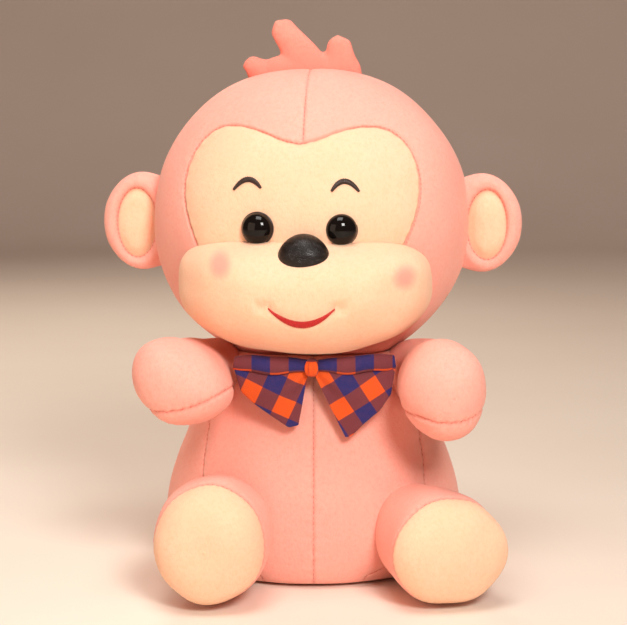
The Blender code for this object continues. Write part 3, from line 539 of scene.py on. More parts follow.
# ---------------------------------------------------------------- neck
# A ball of packed fibre that joins the head to the body inside the covers.
angle = np.linspace(0, 2 * np.pi, 72, endpoint=False)
polar = np.linspace(0, np.pi, 40)[:, None]
points = np.stack([np.sin(polar) * np.cos(angle), np.sin(polar) * np.sin(angle), np.cos(polar) + 0 * angle], -1)
points = points * (19.4 + lumps(points * 20, 9.0, 0.5, 41))[..., None] + (0, 0, 106.0)
points[[0, -1]] = points[[0, -1]].mean(axis=1, keepdims=True)
fibre_fill, tree = new_material("polyester fibre filling, siliconised")
place = add(tree, "TexCoord").outputs["Object"]
strands = add(tree, "TexNoise", {"Vector": place, "Scale": 1 / 0.0015, "Detail": 5.0, "Distortion": 1.5})
colour = two_tone(tree, strands.outputs[0], "#E6E4DF", "#FBFAF7")
bump = add(tree, "Bump", {"Height": strands.outputs[0], "Strength": 0.8, "Distance": 0.001})
surface(tree, colour, 0.8, Normal=bump.outputs[0])
neck = grid_piece("neck_filling_ball", points, first_pole=True, last_pole=True)
finish_piece(neck, fibre_fill, "neck", ["neck_filling"])

# ---------------------------------------------------------------- head cover
# Two halves of pink plush that meet in a stitched seam from the crown to the brow and down the back, round an opening
# shaped like a heart for the face. The head is a firm ball of filling, turned a little to one side.
NECK_PIVOT = np.array([0.0, 0.0, 106.0])
HEAD_TURN = -4.0


def head_place(points):
    """Points of the head's own frame, whose origin is its middle, put in the shared frame."""
    return put(points + (HEAD_MIDDLE - NECK_PIVOT), NECK_PIVOT, HEAD_TURN)


def head_surface(psi, rho, sink=0.0):
    """A point of the head at rho round from straight ahead and psi round the face: the direction times the radius of
    a rounded box of power 2.08, less sink."""
    away = np.stack([np.sin(rho) * np.cos(psi), -np.cos(rho) + 0 * psi, np.sin(rho) * np.sin(psi)], -1)
    radius = (np.abs(away / HEAD_SEMI) ** HEAD_POWER).sum(-1) ** (-1 / HEAD_POWER)
    return away * (radius - sink)[..., None]


def head_front(x, z, lift=0.0):
    """Y of the head's front over (x, z)."""
    a, b, c = HEAD_SEMI + lift
    rest = 1 - np.abs(z / c) ** HEAD_POWER - np.abs(x / a) ** HEAD_POWER
    return -b * np.maximum(rest, 0) ** (1 / HEAD_POWER)


FACE = [  # half of the face's outline, from the notch down
    (0, 41.0), (8, 42.8), (19.5, 47), (30.5, 49.3), (41, 48.3), (49, 43), (55.2, 34), (58.3, 24), (58.5, 14),
    (56, 3), (51.5, -8), (47, -18), (43, -30), (34, -42), (18, -49), (0, -50.5),
]
FACE_MIDDLE_X = -1.5
half = smooth_rows([(x, z, 0.0) for x, z in FACE], 260)[:, :2]
outline = np.concatenate([half, half[-2:0:-1] * (-1, 1)]) + (FACE_MIDDLE_X, 0)
spot = np.stack([outline[:, 0], head_front(*outline.T), outline[:, 1]], -1)
psi = np.arctan2(spot[:, 2], spot[:, 0])
rho = np.arccos(np.clip(-spot[:, 1] / np.linalg.norm(spot, axis=1), -1, 1))
order = np.argsort(psi)
FACE_PSI, FACE_RHO = psi[order], rho[order]


def face_edge(psi):
    """How far round from straight ahead the face's edge lies in each direction."""
    return np.interp((psi + np.pi) % (2 * np.pi) - np.pi, FACE_PSI, FACE_RHO, period=2 * np.pi)


for side, sign in (("left", 1), ("right", -1)):
    step_in = graded(190, 0.88) * np.pi - np.pi / 2
    psi = (step_in if sign > 0 else np.pi - step_in)[None, :]
    edge = face_edge(psi)
    fine = np.linspace(0, 1, 165)[:, None] ** 1.25
    rho = edge + (np.pi - edge) * fine
    bare = head_surface(psi, rho)
    near_centre = np.abs(bare[..., 0])
    near_face = (rho - edge) * 74.0
    pucker = 0.14 * np.sin(rho * 74 * 2 * np.pi / 5.5) * np.exp(-((near_centre / 3.5) ** 2))
    pucker = pucker + 0.16 * np.sin(psi * 58) * np.exp(-((near_face / 3.2) ** 2))
    sink = groove(near_centre, 0.5, 0.8) + groove(near_face, 0.9) + pucker - lumps(bare, 40.0, 1.0, 51)
    sink = np.minimum(sink, 3.0)
    points = head_surface(psi, rho, sink)
    rim = head_surface(psi, edge, sink[:1] + 3.5)
    points = np.concatenate([rim, points])
    seam = np.maximum(np.exp(-((near_centre / 0.8) ** 2)) * 0.6, np.exp(-((near_face / 1.2) ** 2)) * 0.9)
    seam = np.concatenate([seam[:1], seam])
    points[-1] = points[-1].mean(axis=0)
    inner = points * (1 - 3.5 / np.linalg.norm(points, axis=-1, keepdims=True))
    points = np.concatenate([inner[:, :1], points, inner[:, -1:]], axis=1)
    seam = np.concatenate([seam[:, :1], seam, seam[:, -1:]], axis=1)
    piece = grid_piece(f"head_cover_plush_{side}", head_place(points), seam, closed=False)
    nodes = [f"head_cover_{side}"] + (["head_stuffing"] if side == "left" else [])
    finish_piece(piece, pink_plush, "head", nodes)

psi = np.full(150, np.pi / 2)
rho = np.linspace(face_edge(np.array([np.pi / 2]))[0] + 0.02, 2.75, 150)
down = head_surface(psi, rho, 0.75)
rows = [stitches(head_place(down), put(down, (0, 0, 0), HEAD_TURN), 2.6, 1.8, 0.17)]
loop = np.linspace(-np.pi, np.pi, 500)
edge_line = head_surface(loop, face_edge(loop) + 0.004, 1.25)
rows.append(stitches(head_place(edge_line), put(edge_line, (0, 0, 0), HEAD_TURN), 2.3, 1.5, 0.16))
stitch_piece("head_seam_stitches", rows, stitch_thread, "head")

# ---------------------------------------------------------------- face panel
# One heart-shaped piece of cream plush, sewn into the opening of the head cover.
psi = np.linspace(0, 2 * np.pi, 420, endpoint=False)[None, :]
share = 1 - (1 - np.linspace(0, 1, 90)[:, None]) ** 1.35
edge = face_edge(psi)
rho = edge * share
near = (edge - rho) * 72.0
bare = head_surface(psi, rho)
sink = groove(near, 0.9) + 0.16 * np.sin(psi * 58) * np.exp(-((near / 3.2) ** 2)) - lumps(bare, 40.0, 1.0, 51)
points = np.concatenate([head_surface(psi, rho, sink), head_surface(psi, edge, sink[-1:] + 3.5)])
points[0] = points[0].mean(axis=0)
seam = np.exp(-((near / 1.2) ** 2))
seam = np.concatenate([seam, seam[-1:]])
face = grid_piece("face_panel_plush", head_place(points), seam, first_pole=True)
finish_piece(face, cream_plush, "head", ["face_panel"])

# ---------------------------------------------------------------- muzzle
# A pillow of cream plush sewn over the lower face: nearly flat along its top edge, full and round below, with its
# corners drawn in by the thread of the mouth. Two soft spots of pink dye colour the cheeks.
MUZZLE = np.array([0.2, -44.0, -29.5])
MUZZLE_ROUND = 2 / 2.3


def muzzle_reach(theta):
    """Distance from the muzzle's middle to its outline, seen from the front: a flat-topped curve of power 3.4 above
    and one of power 2.1 below, both 62 mm wide to each side."""
    c, s = np.abs(np.cos(theta)), np.abs(np.sin(theta))
    above = ((c / 62.0) ** 3.4 + (s / 26.2) ** 3.4) ** (-1 / 3.4)
    below = ((c / 62.0) ** 2.1 + (s / 32.8) ** 2.1) ** (-1 / 2.1)
    blend = 1 / (1 + np.exp(-np.sin(theta) / 0.05))
    return above * blend + below * (1 - blend)


def muzzle_relief(x, z):
    """How far the pillow stands out or in, in millimetres: full cheeks, a rise to the nose, a dip at each end of the
    mouth with a soft fold below it, and the soft unevenness of the filling."""
    u, w = x - MUZZLE[0], z - MUZZLE[2]
    cheeks = 1.6 * np.exp(-(((np.abs(u) - 34) / 20) ** 2) - ((w + 1) / 17) ** 2)
    dips = sum(
        1.7 * np.exp(-(((x - px) / 3.6) ** 2) - ((z - pz) / 3.0) ** 2) for px, pz in ((-16.0, -34.4), (18.6, -34.4))
    )
    folds = sum(
        0.6 * np.exp(-(((x - px) * 0.8 + (z - pz) * 0.6 * s) / 1.6) ** 2
                     - (((z - pz) - (x - px) * 0.6 * s) / 5.0) ** 2)
        for px, pz, s in ((-18.6, -34.6, 1), (21.0, -34.6, -1))
    )
    mouth = 0.9 * np.exp(-((z + 35.0 + 7.6 * (1 - ((x - 1.2) / 15.8) ** 2)) / 3.0) ** 2) * (np.abs(x - 1.2) < 15.8)
    return cheeks - dips - folds - mouth


def muzzle_point(x, z):
    """Y of the muzzle's front over (x, z): the share of the way out to the outline gives the angle of a pillow of
    power 2.3, and that the depth."""
    u, w = x - MUZZLE[0], z - MUZZLE[2]
    share = np.hypot(u, w) / muzzle_reach(np.arctan2(w, u))
    angle = np.arccos(np.clip(share, 0, 1) ** (1 / MUZZLE_ROUND))
    return MUZZLE[1] - 45.0 * np.sin(angle) ** MUZZLE_ROUND - muzzle_relief(x, z)


theta = np.linspace(0, 2 * np.pi, 400, endpoint=False)[None, :]
front = np.pi / 2 - np.linspace(0, np.pi / 2, 150)[:, None]
share = np.cos(front) ** MUZZLE_ROUND
x = MUZZLE[0] + muzzle_reach(theta) * share * np.cos(theta)
z = MUZZLE[2] + muzzle_reach(theta) * share * np.sin(theta)
front_y = MUZZLE[1] - 45.0 * np.sin(front) ** MUZZLE_ROUND - muzzle_relief(x, z) * np.sin(front) ** 0.5
front_part = np.stack([x, front_y, z], -1)
behind = np.linspace(0, 0.62, 34)[1:, None]
share = np.cos(behind) ** MUZZLE_ROUND
x = MUZZLE[0] + muzzle_reach(theta) * share * np.cos(theta)
z = MUZZLE[2] + muzzle_reach(theta) * share * np.sin(theta)
back_part = np.stack([x, MUZZLE[1] + 40.0 * np.sin(behind) ** MUZZLE_ROUND + 0 * x, z], -1)
points = np.concatenate([front_part, back_part])
unit = points - (MUZZLE + (0, 12, 0))
unit /= np.linalg.norm(unit, axis=-1, keepdims=True)
points = points + unit * lumps(points, 30.0, 0.9, 61)[..., None]
points[0] = points[0].mean(axis=0)
# Painted shade: where the pillow meets or sinks behind the face the seam value rises, and the plush is painted deeper
# there.
gap = points[..., 1] - head_front(points[..., 0], points[..., 2])
seam = np.exp(-((np.minimum(gap, 0) / 1.6) ** 2)) * 0.75
muzzle = grid_piece("muzzle_pillow", head_place(points), seam, first_pole=True)
cheek_plush = short_plush("cream short-pile plush with dyed cheeks", "#F9CCAC", "#F2B78F", "#EDAE8C", "#FFE6CF")
tree = cheek_plush.node_tree
shader = next(n for n in tree.nodes if n.type == "BSDF_PRINCIPLED")
undyed = shader.inputs["Base Color"].links[0].from_socket
place = add(tree, "TexCoord").outputs["Object"]
spread = None
BLUSH = (  # middle and half size of each spot, metres
    ((-0.0442, -0.068, 0.1632), (0.0056, 0.03, 0.0064)), ((0.0430, -0.066, 0.1575), (0.0062, 0.03, 0.0062)),
)
for centre, size in BLUSH:
    # Dye sprayed through a stencil: full in the middle, soft over the last third.
    moved = add(tree, "VectorMath", {0: place, 1: centre}, operation="SUBTRACT")
    scaled = add(tree, "VectorMath", {0: moved.outputs[0], 1: tuple(1 / s for s in size)}, operation="MULTIPLY")
    away = add(tree, "VectorMath", {0: scaled.outputs[0]}, operation="LENGTH")
    dye = add(tree, "MapRange", {"Value": away.outputs["Value"], 1: 0.45, 2: 1.35, 3: 0.75, 4: 0.0},
              interpolation_type="SMOOTHSTEP")
    if spread is None:
        spread = dye
    else:
        spread = add(tree, "Math", {0: spread.outputs[0], 1: dye.outputs[0]}, operation="MAXIMUM")
dyed = two_tone(tree, spread.outputs[0], undyed, "#F39488")
tree.links.new(dyed.outputs[2], shader.inputs["Base Color"])
finish_piece(muzzle, cheek_plush, "head", ["muzzle_cover", "muzzle_stuffing"])

# ---------------------------------------------------------------- eyes
# Domed black safety eyes of moulded plastic, 16 mm across over a thin brown rim, locked behind by a washer.
gloss_black, tree = new_material("polished black ABS")
place = add(tree, "TexCoord").outputs["Object"]
cloudy = add(tree, "TexNoise", {"Vector": place, "Scale": 1 / 0.004, "Detail": 2.0})
colour = two_tone(tree, cloudy.outputs[0], "#0B0807", "#15100D")
surface(tree, colour, 0.06, IOR=1.32)
rim_brown, tree = new_material("moulded dark brown ABS")
place = add(tree, "TexCoord").outputs["Object"]
cloudy = add(tree, "TexNoise", {"Vector": place, "Scale": 1 / 0.001, "Detail": 3.0})
colour = two_tone(tree, cloudy.outputs[0], "#2A1A12", "#3E2A1D")
surface(tree, colour, 0.32, IOR=1.54)


def turned_piece(name, profile, around, at, normal, squash=(1.0, 1.0)):
    """A round piece from a profile of (radius, height) pairs turned about a normal at a place of the head's frame.
    The profile starts and ends on the axis; squash stretches it across and up."""
    normal = np.array(normal, float) / np.linalg.norm(normal)
    wide = np.cross((0, 0, 1.0), normal) * -1
    wide /= np.linalg.norm(wide)
    tall = np.cross(normal, wide) * -1
    profile = np.asarray(profile, float)
    angle = np.linspace(0, 2 * np.pi, around, endpoint=False)
    points = (
        np.asarray(at, float)
        + wide * (squash[0] * profile[:, 0, None, None] * np.cos(angle)[None, :, None])
        + tall * (squash[1] * profile[:, 0, None, None] * np.sin(angle)[None, :, None])
        + normal * profile[:, 1, None, None]
    )
    return grid_piece(name, head_place(points), first_pole=True, last_pole=True)


def head_normal(x, z):
    """Which way the head's front faces at (x, z): the slope of its formula."""
    at = np.array([x, head_front(np.array(x), np.array(z)), z], float)
    slope = np.sign(at) * np.abs(at / HEAD_SEMI) ** (HEAD_POWER - 1) / HEAD_SEMI
    return slope / np.linalg.norm(slope)


EYES = {"left": (19.0, 0.4), "right": (-21.4, 0.6)}
for side, (x, z) in EYES.items():
    at = np.array([x, float(head_front(np.array(x), np.array(z))), z])
    normal = head_normal(x, z)
    a = np.linspace(0, np.pi / 2, 26)
    dome = [(7.6 * math.sin(v), 0.2 + 5.6 * math.cos(v)) for v in a]
    dome += [(7.65, -0.4), (7.4, -1.2), (3.0, -1.4), (0, -1.4)]
    eye = turned_piece(f"{side}_eye_dome", dome, 96, at, normal)
    finish_piece(eye, gloss_black, "head", [f"{side}_eye"])
    b = np.linspace(0, np.pi, 9)
    bead = [(7.65 + 0.5 * math.sin(v), -0.35 - 0.5 * math.cos(v)) for v in b[1:]]
    ring = [(0, -0.9), (7.0, -0.9)] + bead + [(7.0, 0.1), (0, 0.1)]
    rim = turned_piece(f"{side}_eye_rim", ring, 96, at, normal)
    finish_piece(rim, rim_brown, "head")

# ---------------------------------------------------------------- nose
# A moulded plastic nose, an oval dome fuller below than above, with a fine leather grain, pressed into the pillow.
grain, tree = new_material("leather-grained brown ABS, satin")
place = add(tree, "TexCoord").outputs["Object"]
# The grain's pebbles are about 0.5 mm across.
pebbles = add(tree, "TexVoronoi", {"Vector": place, "Scale": 1 / 0.00085, "Randomness": 1.0},
              feature="DISTANCE_TO_EDGE")
creases = add(tree, "MapRange", {"Value": pebbles.outputs[0], 1: 0.0, 2: 0.16, 3: 0.0, 4: 1.0},
              interpolation_type="SMOOTHSTEP")
worn = add(tree, "TexNoise", {"Vector": place, "Scale": 1 / 0.006, "Detail": 3.0})
# Painted shade: the grain's creases are darker; the worn noise adds tone that differs at random.
tone = add(tree, "Math", {0: creases.outputs[0], 1: worn.outputs[0]}, operation="MULTIPLY")
colour = two_tone(tree, tone.outputs[0], "#080504", "#1D1411")
rough = add(tree, "MapRange", {"Value": worn.outputs[0], 1: 0.3, 2: 0.7, 3: 0.26, 4: 0.38})
bump = add(tree, "Bump", {"Height": creases.outputs[0], "Strength": 0.55, "Distance": 0.00018})
surface(tree, colour, rough.outputs[0], Normal=bump.outputs[0], IOR=1.42)
NOSE_AT, NOSE_NORMAL = np.array([1.6, -75.5, -11.2]), np.array([0.0, -0.9, 0.43])
angle = np.linspace(0, 2 * np.pi, 120, endpoint=False)[None, :]
polar = np.linspace(0, 1.95, 56)[:, None]
c, s = np.cos(angle), np.sin(angle)
# Wider below the middle, flatter along its bottom.
wide = 12.4 * (1 - 0.12 * s) * np.sin(polar) ** 0.94
tall = np.where(s > 0, 10.6, 9.6)
x = wide * c
z = tall * np.sign(s) * np.abs(s) ** np.where(s > 0, 1.0, 0.93) * np.sin(polar) ** 0.94
out = 9.2 * np.cos(polar) * (1 + 0.05 * (s < 0) * np.sin(polar) * np.abs(s))
normal = NOSE_NORMAL / np.linalg.norm(NOSE_NORMAL)
tall_way = np.cross((1.0, 0, 0), normal) * -1
points = NOSE_AT + x[..., None] * np.array([1.0, 0, 0]) + z[..., None] * tall_way + out[..., None] * normal
points[0] = points[0].mean(axis=0)
points = np.concatenate([points, np.broadcast_to(points[-1].mean(axis=0), points[-1:].shape)])
nose = grid_piece("nose_dome", head_place(points), first_pole=True, last_pole=True)
finish_piece(nose, grain, "head", ["nose"])

# ---------------------------------------------------------------- washers
# White polypropylene lock washers, pressed on the posts of the eyes and the nose inside the head.
washer_white, tree = new_material("moulded white polypropylene")
place = add(tree, "TexCoord").outputs["Object"]
flow = add(tree, "TexNoise", {"Vector": place, "Scale": 1 / 0.003, "Detail": 2.0})
colour = two_tone(tree, flow.outputs[0], "#DFDDD6", "#F1EFEA")
surface(tree, colour, 0.42, IOR=1.49)
for name in ("left_eye_washer", "right_eye_washer", "nose_washer"):
    node = bpy.data.objects[name]
    node.data.materials.clear()
    node.data.materials.append(washer_white)

# ---------------------------------------------------------------- embroidery
# Brows and mouth in satin stitch: dense lustrous threads laid across the line, which make a raised ridge with a
# finely toothed edge.


def satin(name, twist, dark, light):
    """Rayon embroidery thread in satin stitch: glossy along each thread, with painted shade in the gaps, 0.45 mm
    apart.
    """
    material, tree = new_material(name)
    cloth = add(tree, "UVMap", uv_map="cloth").outputs[0]
    apart = add(tree, "SeparateXYZ", {0: cloth})
    phase = add(tree, "Math", {0: apart.outputs[0], 1: 2 * math.pi / 0.45}, operation="MULTIPLY")
    wave = add(tree, "Math", {0: phase.outputs[0]}, operation="COSINE")
    ridge = add(tree, "MapRange", {"Value": wave.outputs[0], 1: -1.0, 2: 0.5, 3: 0.0, 4: 1.0})
    # Painted shade: the dark colour fills the low gaps between the threads.
    colour = two_tone(tree, ridge.outputs[0], dark, light)
    bump = add(tree, "Bump", {"Height": ridge.outputs[0], "Strength": 0.7, "Distance": twist})
    surface(tree, colour, 0.38, Normal=bump.outputs[0], Specular_IOR_Level=0.5, Sheen_Weight=0.2,
            Sheen_Roughness=0.3)
    return material


def satin_stitch(name, path, outward, half_width, high):
    """A raised band along a path in the head's frame: its section is half an ellipse, its width and height ripple
    with the threads every 0.9 mm, and its flat back lies just under the cloth."""
    at = distance_along(path)
    fine = np.linspace(0, at[-1], int(at[-1] / 0.11))
    line, out = sampled(fine, at, path), sampled(fine, at, outward)
    half = np.interp(fine, at, half_width)
    ahead = np.gradient(line, axis=0)
    ahead /= np.linalg.norm(ahead, axis=1)[:, None]
    out -= (out * ahead).sum(1)[:, None] * ahead
    out /= np.linalg.norm(out, axis=1)[:, None]
    wide = np.cross(ahead, out)
    ripple = 1 + 0.09 * np.cos(2 * np.pi * fine / 0.9)
    angle = np.linspace(0, 2 * np.pi, 24, endpoint=False)
    c, s = np.cos(angle), np.sin(angle)
    rise = np.where(s > 0, high * s, 0.9 * s)
    points = (
        line[:, None] + wide[:, None] * (half * ripple)[:, None, None] * c[None, :, None]
        + out[:, None] * (rise[None, :] * np.minimum(1, half / 0.5)[:, None] * ripple[:, None])[..., None]
    )
    points[[0, -1]] = points[[0, -1]].mean(axis=1, keepdims=True)
    uv = np.stack([np.repeat(fine[:, None], 24, 1), np.repeat((c * 1.0)[None, :], len(fine), 0)], -1)
    return grid_piece(name, head_place(points), uv=uv, first_pole=True, last_pole=True)


brown_satin = satin("rayon satin stitch, dark brown", 0.00012, "#160B06", "#3A2316")
red_satin = satin("rayon satin stitch, red", 0.00016, "#8E0F10", "#D6231F")
t = np.linspace(0, 1, 60)
for side, corners in (
    ("left", ((14.0, 18.4), (20.2, 23.2), (27.2, 18.2))), ("right", ((-33.2, 18.6), (-26.4, 23.9), (-20.0, 19.9))),
):
    (x0, z0), (x1, z1), (x2, z2) = corners
    x = (1 - t) ** 2 * x0 + 2 * t * (1 - t) * (2 * x1 - (x0 + x2) / 2) + t**2 * x2
    z = (1 - t) ** 2 * z0 + 2 * t * (1 - t) * (2 * z1 - (z0 + z2) / 2) + t**2 * z2
    lumpy = np.stack([x, head_front(x, z), z], -1)
    path = lumpy * (1 + (lumps(lumpy, 40.0, 1.0, 51) / np.linalg.norm(lumpy, axis=1))[:, None])
    brow = satin_stitch(f"{side}_eyebrow_satin", path, path, 0.55 + 0.85 * np.sin(math.pi * t) ** 0.7, 0.75)
    finish_piece(brow, brown_satin, "head", [f"{side}_eyebrow"])

x = -14.6 + 31.6 * t
z = -35.0 - 7.6 * (1 - (2 * t - 1) ** 2)
path = np.stack([x, muzzle_point(x, z) - 0.1, z], -1)
unit = path - (MUZZLE + (0, 12, 0))
unit /= np.linalg.norm(unit, axis=-1, keepdims=True)
path = path + unit * lumps(path, 30.0, 0.9, 61)[:, None]
mouth = satin_stitch("mouth_satin", path, np.stack([0 * t, -1 + 0 * t, -0.25 + 0 * t], -1),
                     0.3 + 1.6 * np.sin(math.pi * t) ** 1.2, 0.75)
finish_piece(mouth, red_satin, "head", ["mouth_embroidery"])

# ---------------------------------------------------------------- ears
# Flat round ears, lightly filled: a pink plush back and rim round a cream inner panel that sits lower than the rim.
# They are sewn into the sides of the head.
EAR_OUT = np.array([70.0, 74.2, 75.5, 78.0, 81.0, 85.0, 90.0, 95.0, 100.0, 104.0, 106.3, 107.3])
EAR_TALL = np.array([20.0, 21.0, 21.8, 22.4, 23.4, 24.6, 24.4, 22.4, 18.4, 12.8, 7.6, 0.0])
EAR_MIDDLE = np.array([89.5, -2.8])
edge_x = np.concatenate([EAR_OUT, EAR_OUT[-2::-1]])
edge_z = np.concatenate([EAR_TALL * 1.03 + 0.6, -EAR_TALL[-2::-1]]) - 2.6
edge_x, edge_z = np.append(edge_x, edge_x[0]), np.append(edge_z, edge_z[0])
walk = np.concatenate([[0], np.cumsum(np.hypot(np.diff(edge_x), np.diff(edge_z)))])
fine = np.linspace(0, walk[-1], 720)
edge_x, edge_z = np.interp(fine, walk, edge_x), np.interp(fine, walk, edge_z)
edge_angle = np.arctan2(edge_z - EAR_MIDDLE[1], edge_x - EAR_MIDDLE[0])
edge_reach = np.hypot(edge_z - EAR_MIDDLE[1], edge_x - EAR_MIDDLE[0])
order = np.argsort(edge_angle)
alpha = np.linspace(0, 2 * np.pi, 240, endpoint=False)[None, :]
reach = np.interp((alpha + np.pi) % (2 * np.pi) - np.pi, edge_angle[order], edge_reach[order], period=2 * np.pi)
kernel = np.hanning(25)[1:-1]
kernel /= kernel.sum()
reach = np.convolve(np.concatenate([reach[0, -12:], reach[0], reach[0, :12]]), kernel, "same")[12:-12][None, :]
oval = 1 / np.sqrt((np.cos(alpha) / 9.8) ** 2 + (np.sin(alpha) / 17.6) ** 2)


def ear_half(x, share, front):
    """How far the ear's front or back stands off its middle plane: thin at the root, thickest in the middle, falling
    to nothing at the edge as a quarter circle does."""
    root = np.interp(x, [68, 78, 88, 108], [3.4, 4.4, 6.2, 6.2])
    return root * np.sqrt(np.clip(1 - share**2.6, 0, 1)) * (-1 if front else 1)


for side, sign in (("left", 1), ("right", -1)):
    mirror = np.array([sign, 1, 1])
    inner_share = oval / reach
    for name, shares in (
        ("inner", inner_share * (1 - (1 - np.linspace(0, 1, 46)[:, None]) ** 1.3)),
        ("rim", inner_share + (1 - inner_share) * np.sin(np.linspace(0, np.pi / 2, 44)[:, None])),
        ("back", np.sin(np.linspace(0, np.pi / 2, 70)[:, None]) + 0 * alpha),
    ):
        x = EAR_MIDDLE[0] + reach * shares * np.cos(alpha)
        z = EAR_MIDDLE[1] + reach * shares * np.sin(alpha)
        y = ear_half(x, shares, name != "back")
        from_oval = (shares - inner_share) * reach
        from_edge = (1 - shares) * reach
        if name == "inner":
            y = y + 1.5 * np.exp(-((from_oval / 3.2) ** 2)) + 0.9
            seam = np.exp(-((from_oval / 1.0) ** 2)) * 0.9
        elif name == "rim":
            y = y + groove(from_oval, 1.4, 0.9, 2.6) - 0.8 * np.exp(-(((from_oval - 4.5) / 3.0) ** 2))
            seam = np.exp(-((from_oval / 1.1) ** 2)) * 0.9
        else:
            seam = np.exp(-((from_edge / 1.0) ** 2))
        seam = seam + 0 * x
        points = np.stack([x, y, z], -1)
        points[..., 1] += lumps(points * mirror, 15.0, 0.35, 71) * np.clip(from_edge / 3, 0, 1)
        if name == "rim":
            tuck = points[:1] + (0, 2.6, 0)
            points, seam = np.concatenate([tuck, points]), np.concatenate([seam[:1], seam])
        if name == "inner":
            tuck = points[-1:] + (0, 2.4, 0)
            points, seam = np.concatenate([points, tuck]), np.concatenate([seam, seam[-1:]])
        if name != "rim":
            points[0] = points[0].mean(axis=0)
        points = head_place(points * mirror)
        piece = grid_piece(f"{side}_ear_{name}_plush", points, seam, first_pole=name != "rim")
        facing = np.empty(len(piece.data.polygons) * 3)
        piece.data.polygons.foreach_get("normal", facing)
        if (facing[1::3].mean() > 0) != (name == "back"):
            piece.data.flip_normals()
        nodes = [f"{side}_ear_{name}"] + ([f"{side}_ear_filling"] if name == "back" else [])
        finish_piece(piece, cream_plush if name == "inner" else pink_plush, f"{side}_ear", nodes)
        if name == "rim":
            loop = np.concatenate([points[2], points[2, :1]])
            rows = [stitches(loop + (0, -0.1, 0), np.tile([0.0, -1.0, 0.0], (len(loop), 1)), 2.2, 1.4, 0.2)]
            stitch_piece(f"{side}_ear_stitches", rows, stitch_thread, f"{side}_ear")

# ---------------------------------------------------------------- tuft
# A tuft of hair cut from two layers of plush and filled: a small lobe, a long one that leans, and a blunt one, sewn
# into the crown. It is painted a deeper pink than the head, as shade, and deeper still by its root than at its tips.
TUFT_ROOT = np.array([-3.0, 2.0, 73.0])


def lobe(path, widths, thick):
    """A closed finger of filling along a path of (x, z) points: an oval at each place, rounded off at the far end."""
    path = np.asarray(path, float)
    rows = smooth_rows(np.column_stack([path, 0 * path[:, 0], widths]), 60)
    ahead = np.gradient(rows[:, :2], axis=0)
    ahead /= np.linalg.norm(ahead, axis=1)[:, None]
    angle = np.linspace(0, 2 * np.pi, 40, endpoint=False)
    wide = rows[:, 3, None]
    deep = thick * np.sqrt(np.clip(wide / wide.max(), 0, 1))
    x = rows[:, 0, None] - ahead[:, 1, None] * wide * np.cos(angle)
    z = rows[:, 1, None] + ahead[:, 0, None] * wide * np.cos(angle)
    points = np.stack([x, deep * np.sin(angle), z], -1)
    points[[0, -1]] = points[[0, -1]].mean(axis=1, keepdims=True)
    return points


lobes = [
    lobe([(-17, -5), (-21, 0), (-25.5, 2.6), (-29, 3.8), (-33, 3.6)], [0, 6.6, 6.4, 5.6, 0], 5.4),
    lobe([(3, -8), (1.0, 0), (-2.0, 7.5), (-6.3, 14.8), (-10.6, 20.6), (-13.6, 24.4), (-16.2, 27.6)],
         [0, 13.0, 11.0, 8.4, 7.2, 5.9, 0], 6.0),
    lobe([(15, -8), (17.6, 0), (17.4, 8), (17.0, 13), (16.6, 17.2), (16.4, 20.4)], [0, 10.8, 8.6, 7.2, 5.7, 0], 5.6),
    lobe([(-27, -2), (-20, 0), (-8, 1.5), (6, 1.8), (20, -0.5), (33, -6)], [0, 6.8, 8.6, 9.0, 7.6, 0], 5.8),
]
points, faces, start = [], [], 0
for part in lobes:
    points.append(part.reshape(-1, 3))
    faces += [f + start for f in grid_faces(*part.shape[:2], first_pole=True, last_pole=True)]
    start += part.shape[0] * part.shape[1]
points = np.concatenate(points) + TUFT_ROOT
tuft = mesh_piece("tuft_plush", head_place(points), faces)
for kind, settings in (
    ("REMESH", {"mode": "VOXEL", "voxel_size": 0.0008, "use_smooth_shade": True}),
    ("SMOOTH", {"factor": 0.5, "iterations": 14}),
):
    modifier = tuft.modifiers.new(kind.lower(), kind)
    for key, value in settings.items():
        setattr(modifier, key, value)
joined = bpy.data.meshes.new_from_object(tuft.evaluated_get(bpy.context.evaluated_depsgraph_get()))
tuft.modifiers.clear()
tuft.data = joined
count = len(joined.vertices)
flat = np.empty(count * 3, np.float32)
joined.vertices.foreach_get("co", flat)
where = flat.reshape(-1, 3).astype(float) * 1000
joined.vertex_normals.foreach_get("vector", flat)
outward = flat.reshape(-1, 3).astype(float)
local = put(where - NECK_PIVOT, (0, 0, 0), -HEAD_TURN) - (HEAD_MIDDLE - NECK_PIVOT) - TUFT_ROOT
draw = groove(np.abs(local[:, 1]), 0.8, 0.8, 2.4) * (np.abs(outward[:, 1]) < 0.75) - lumps(local, 9.0, 0.35, 81)
where = where - outward * draw[:, None]
joined.vertices.foreach_set("co", (where * 0.001).ravel())
seam = np.exp(-((local[:, 1] / 1.1) ** 2)) * (np.abs(outward[:, 1]) < 0.75) * 0.7
joined.attributes.new("seam", "FLOAT", "POINT").data.foreach_set("value", seam.astype(np.float32))
joined.update()
# Painted shade: the tuft's plush is the head's pink drawn deeper.
tuft_shaded_pink = short_plush("pink short-pile plush, painted deeper as shade", "#F59A88", "#EC8073", "#DC6A5D", "#FFC6B5")
tree = tuft_shaded_pink.node_tree
shader = next(n for n in tree.nodes if n.type == "BSDF_PRINCIPLED")
plain = shader.inputs["Base Color"].links[0].from_socket
place = add(tree, "SeparateXYZ", {0: add(tree, "TexCoord").outputs["Object"]})
# Painted shade: low down, by the root, the colour is drawn toward a deeper pink.
low = add(tree, "MapRange", {"Value": place.outputs[2], 1: 0.276, 2: 0.250, 3: 0.0, 4: 0.55},
          interpolation_type="SMOOTHSTEP")
root_shade = two_tone(tree, low.outputs[0], plain, "#EE7F6E")
tree.links.new(root_shade.outputs[2], shader.inputs["Base Color"])
finish_piece(tuft, tuft_shaded_pink, "tuft", ["tuft_front", "tuft_back", "tuft_filling"])

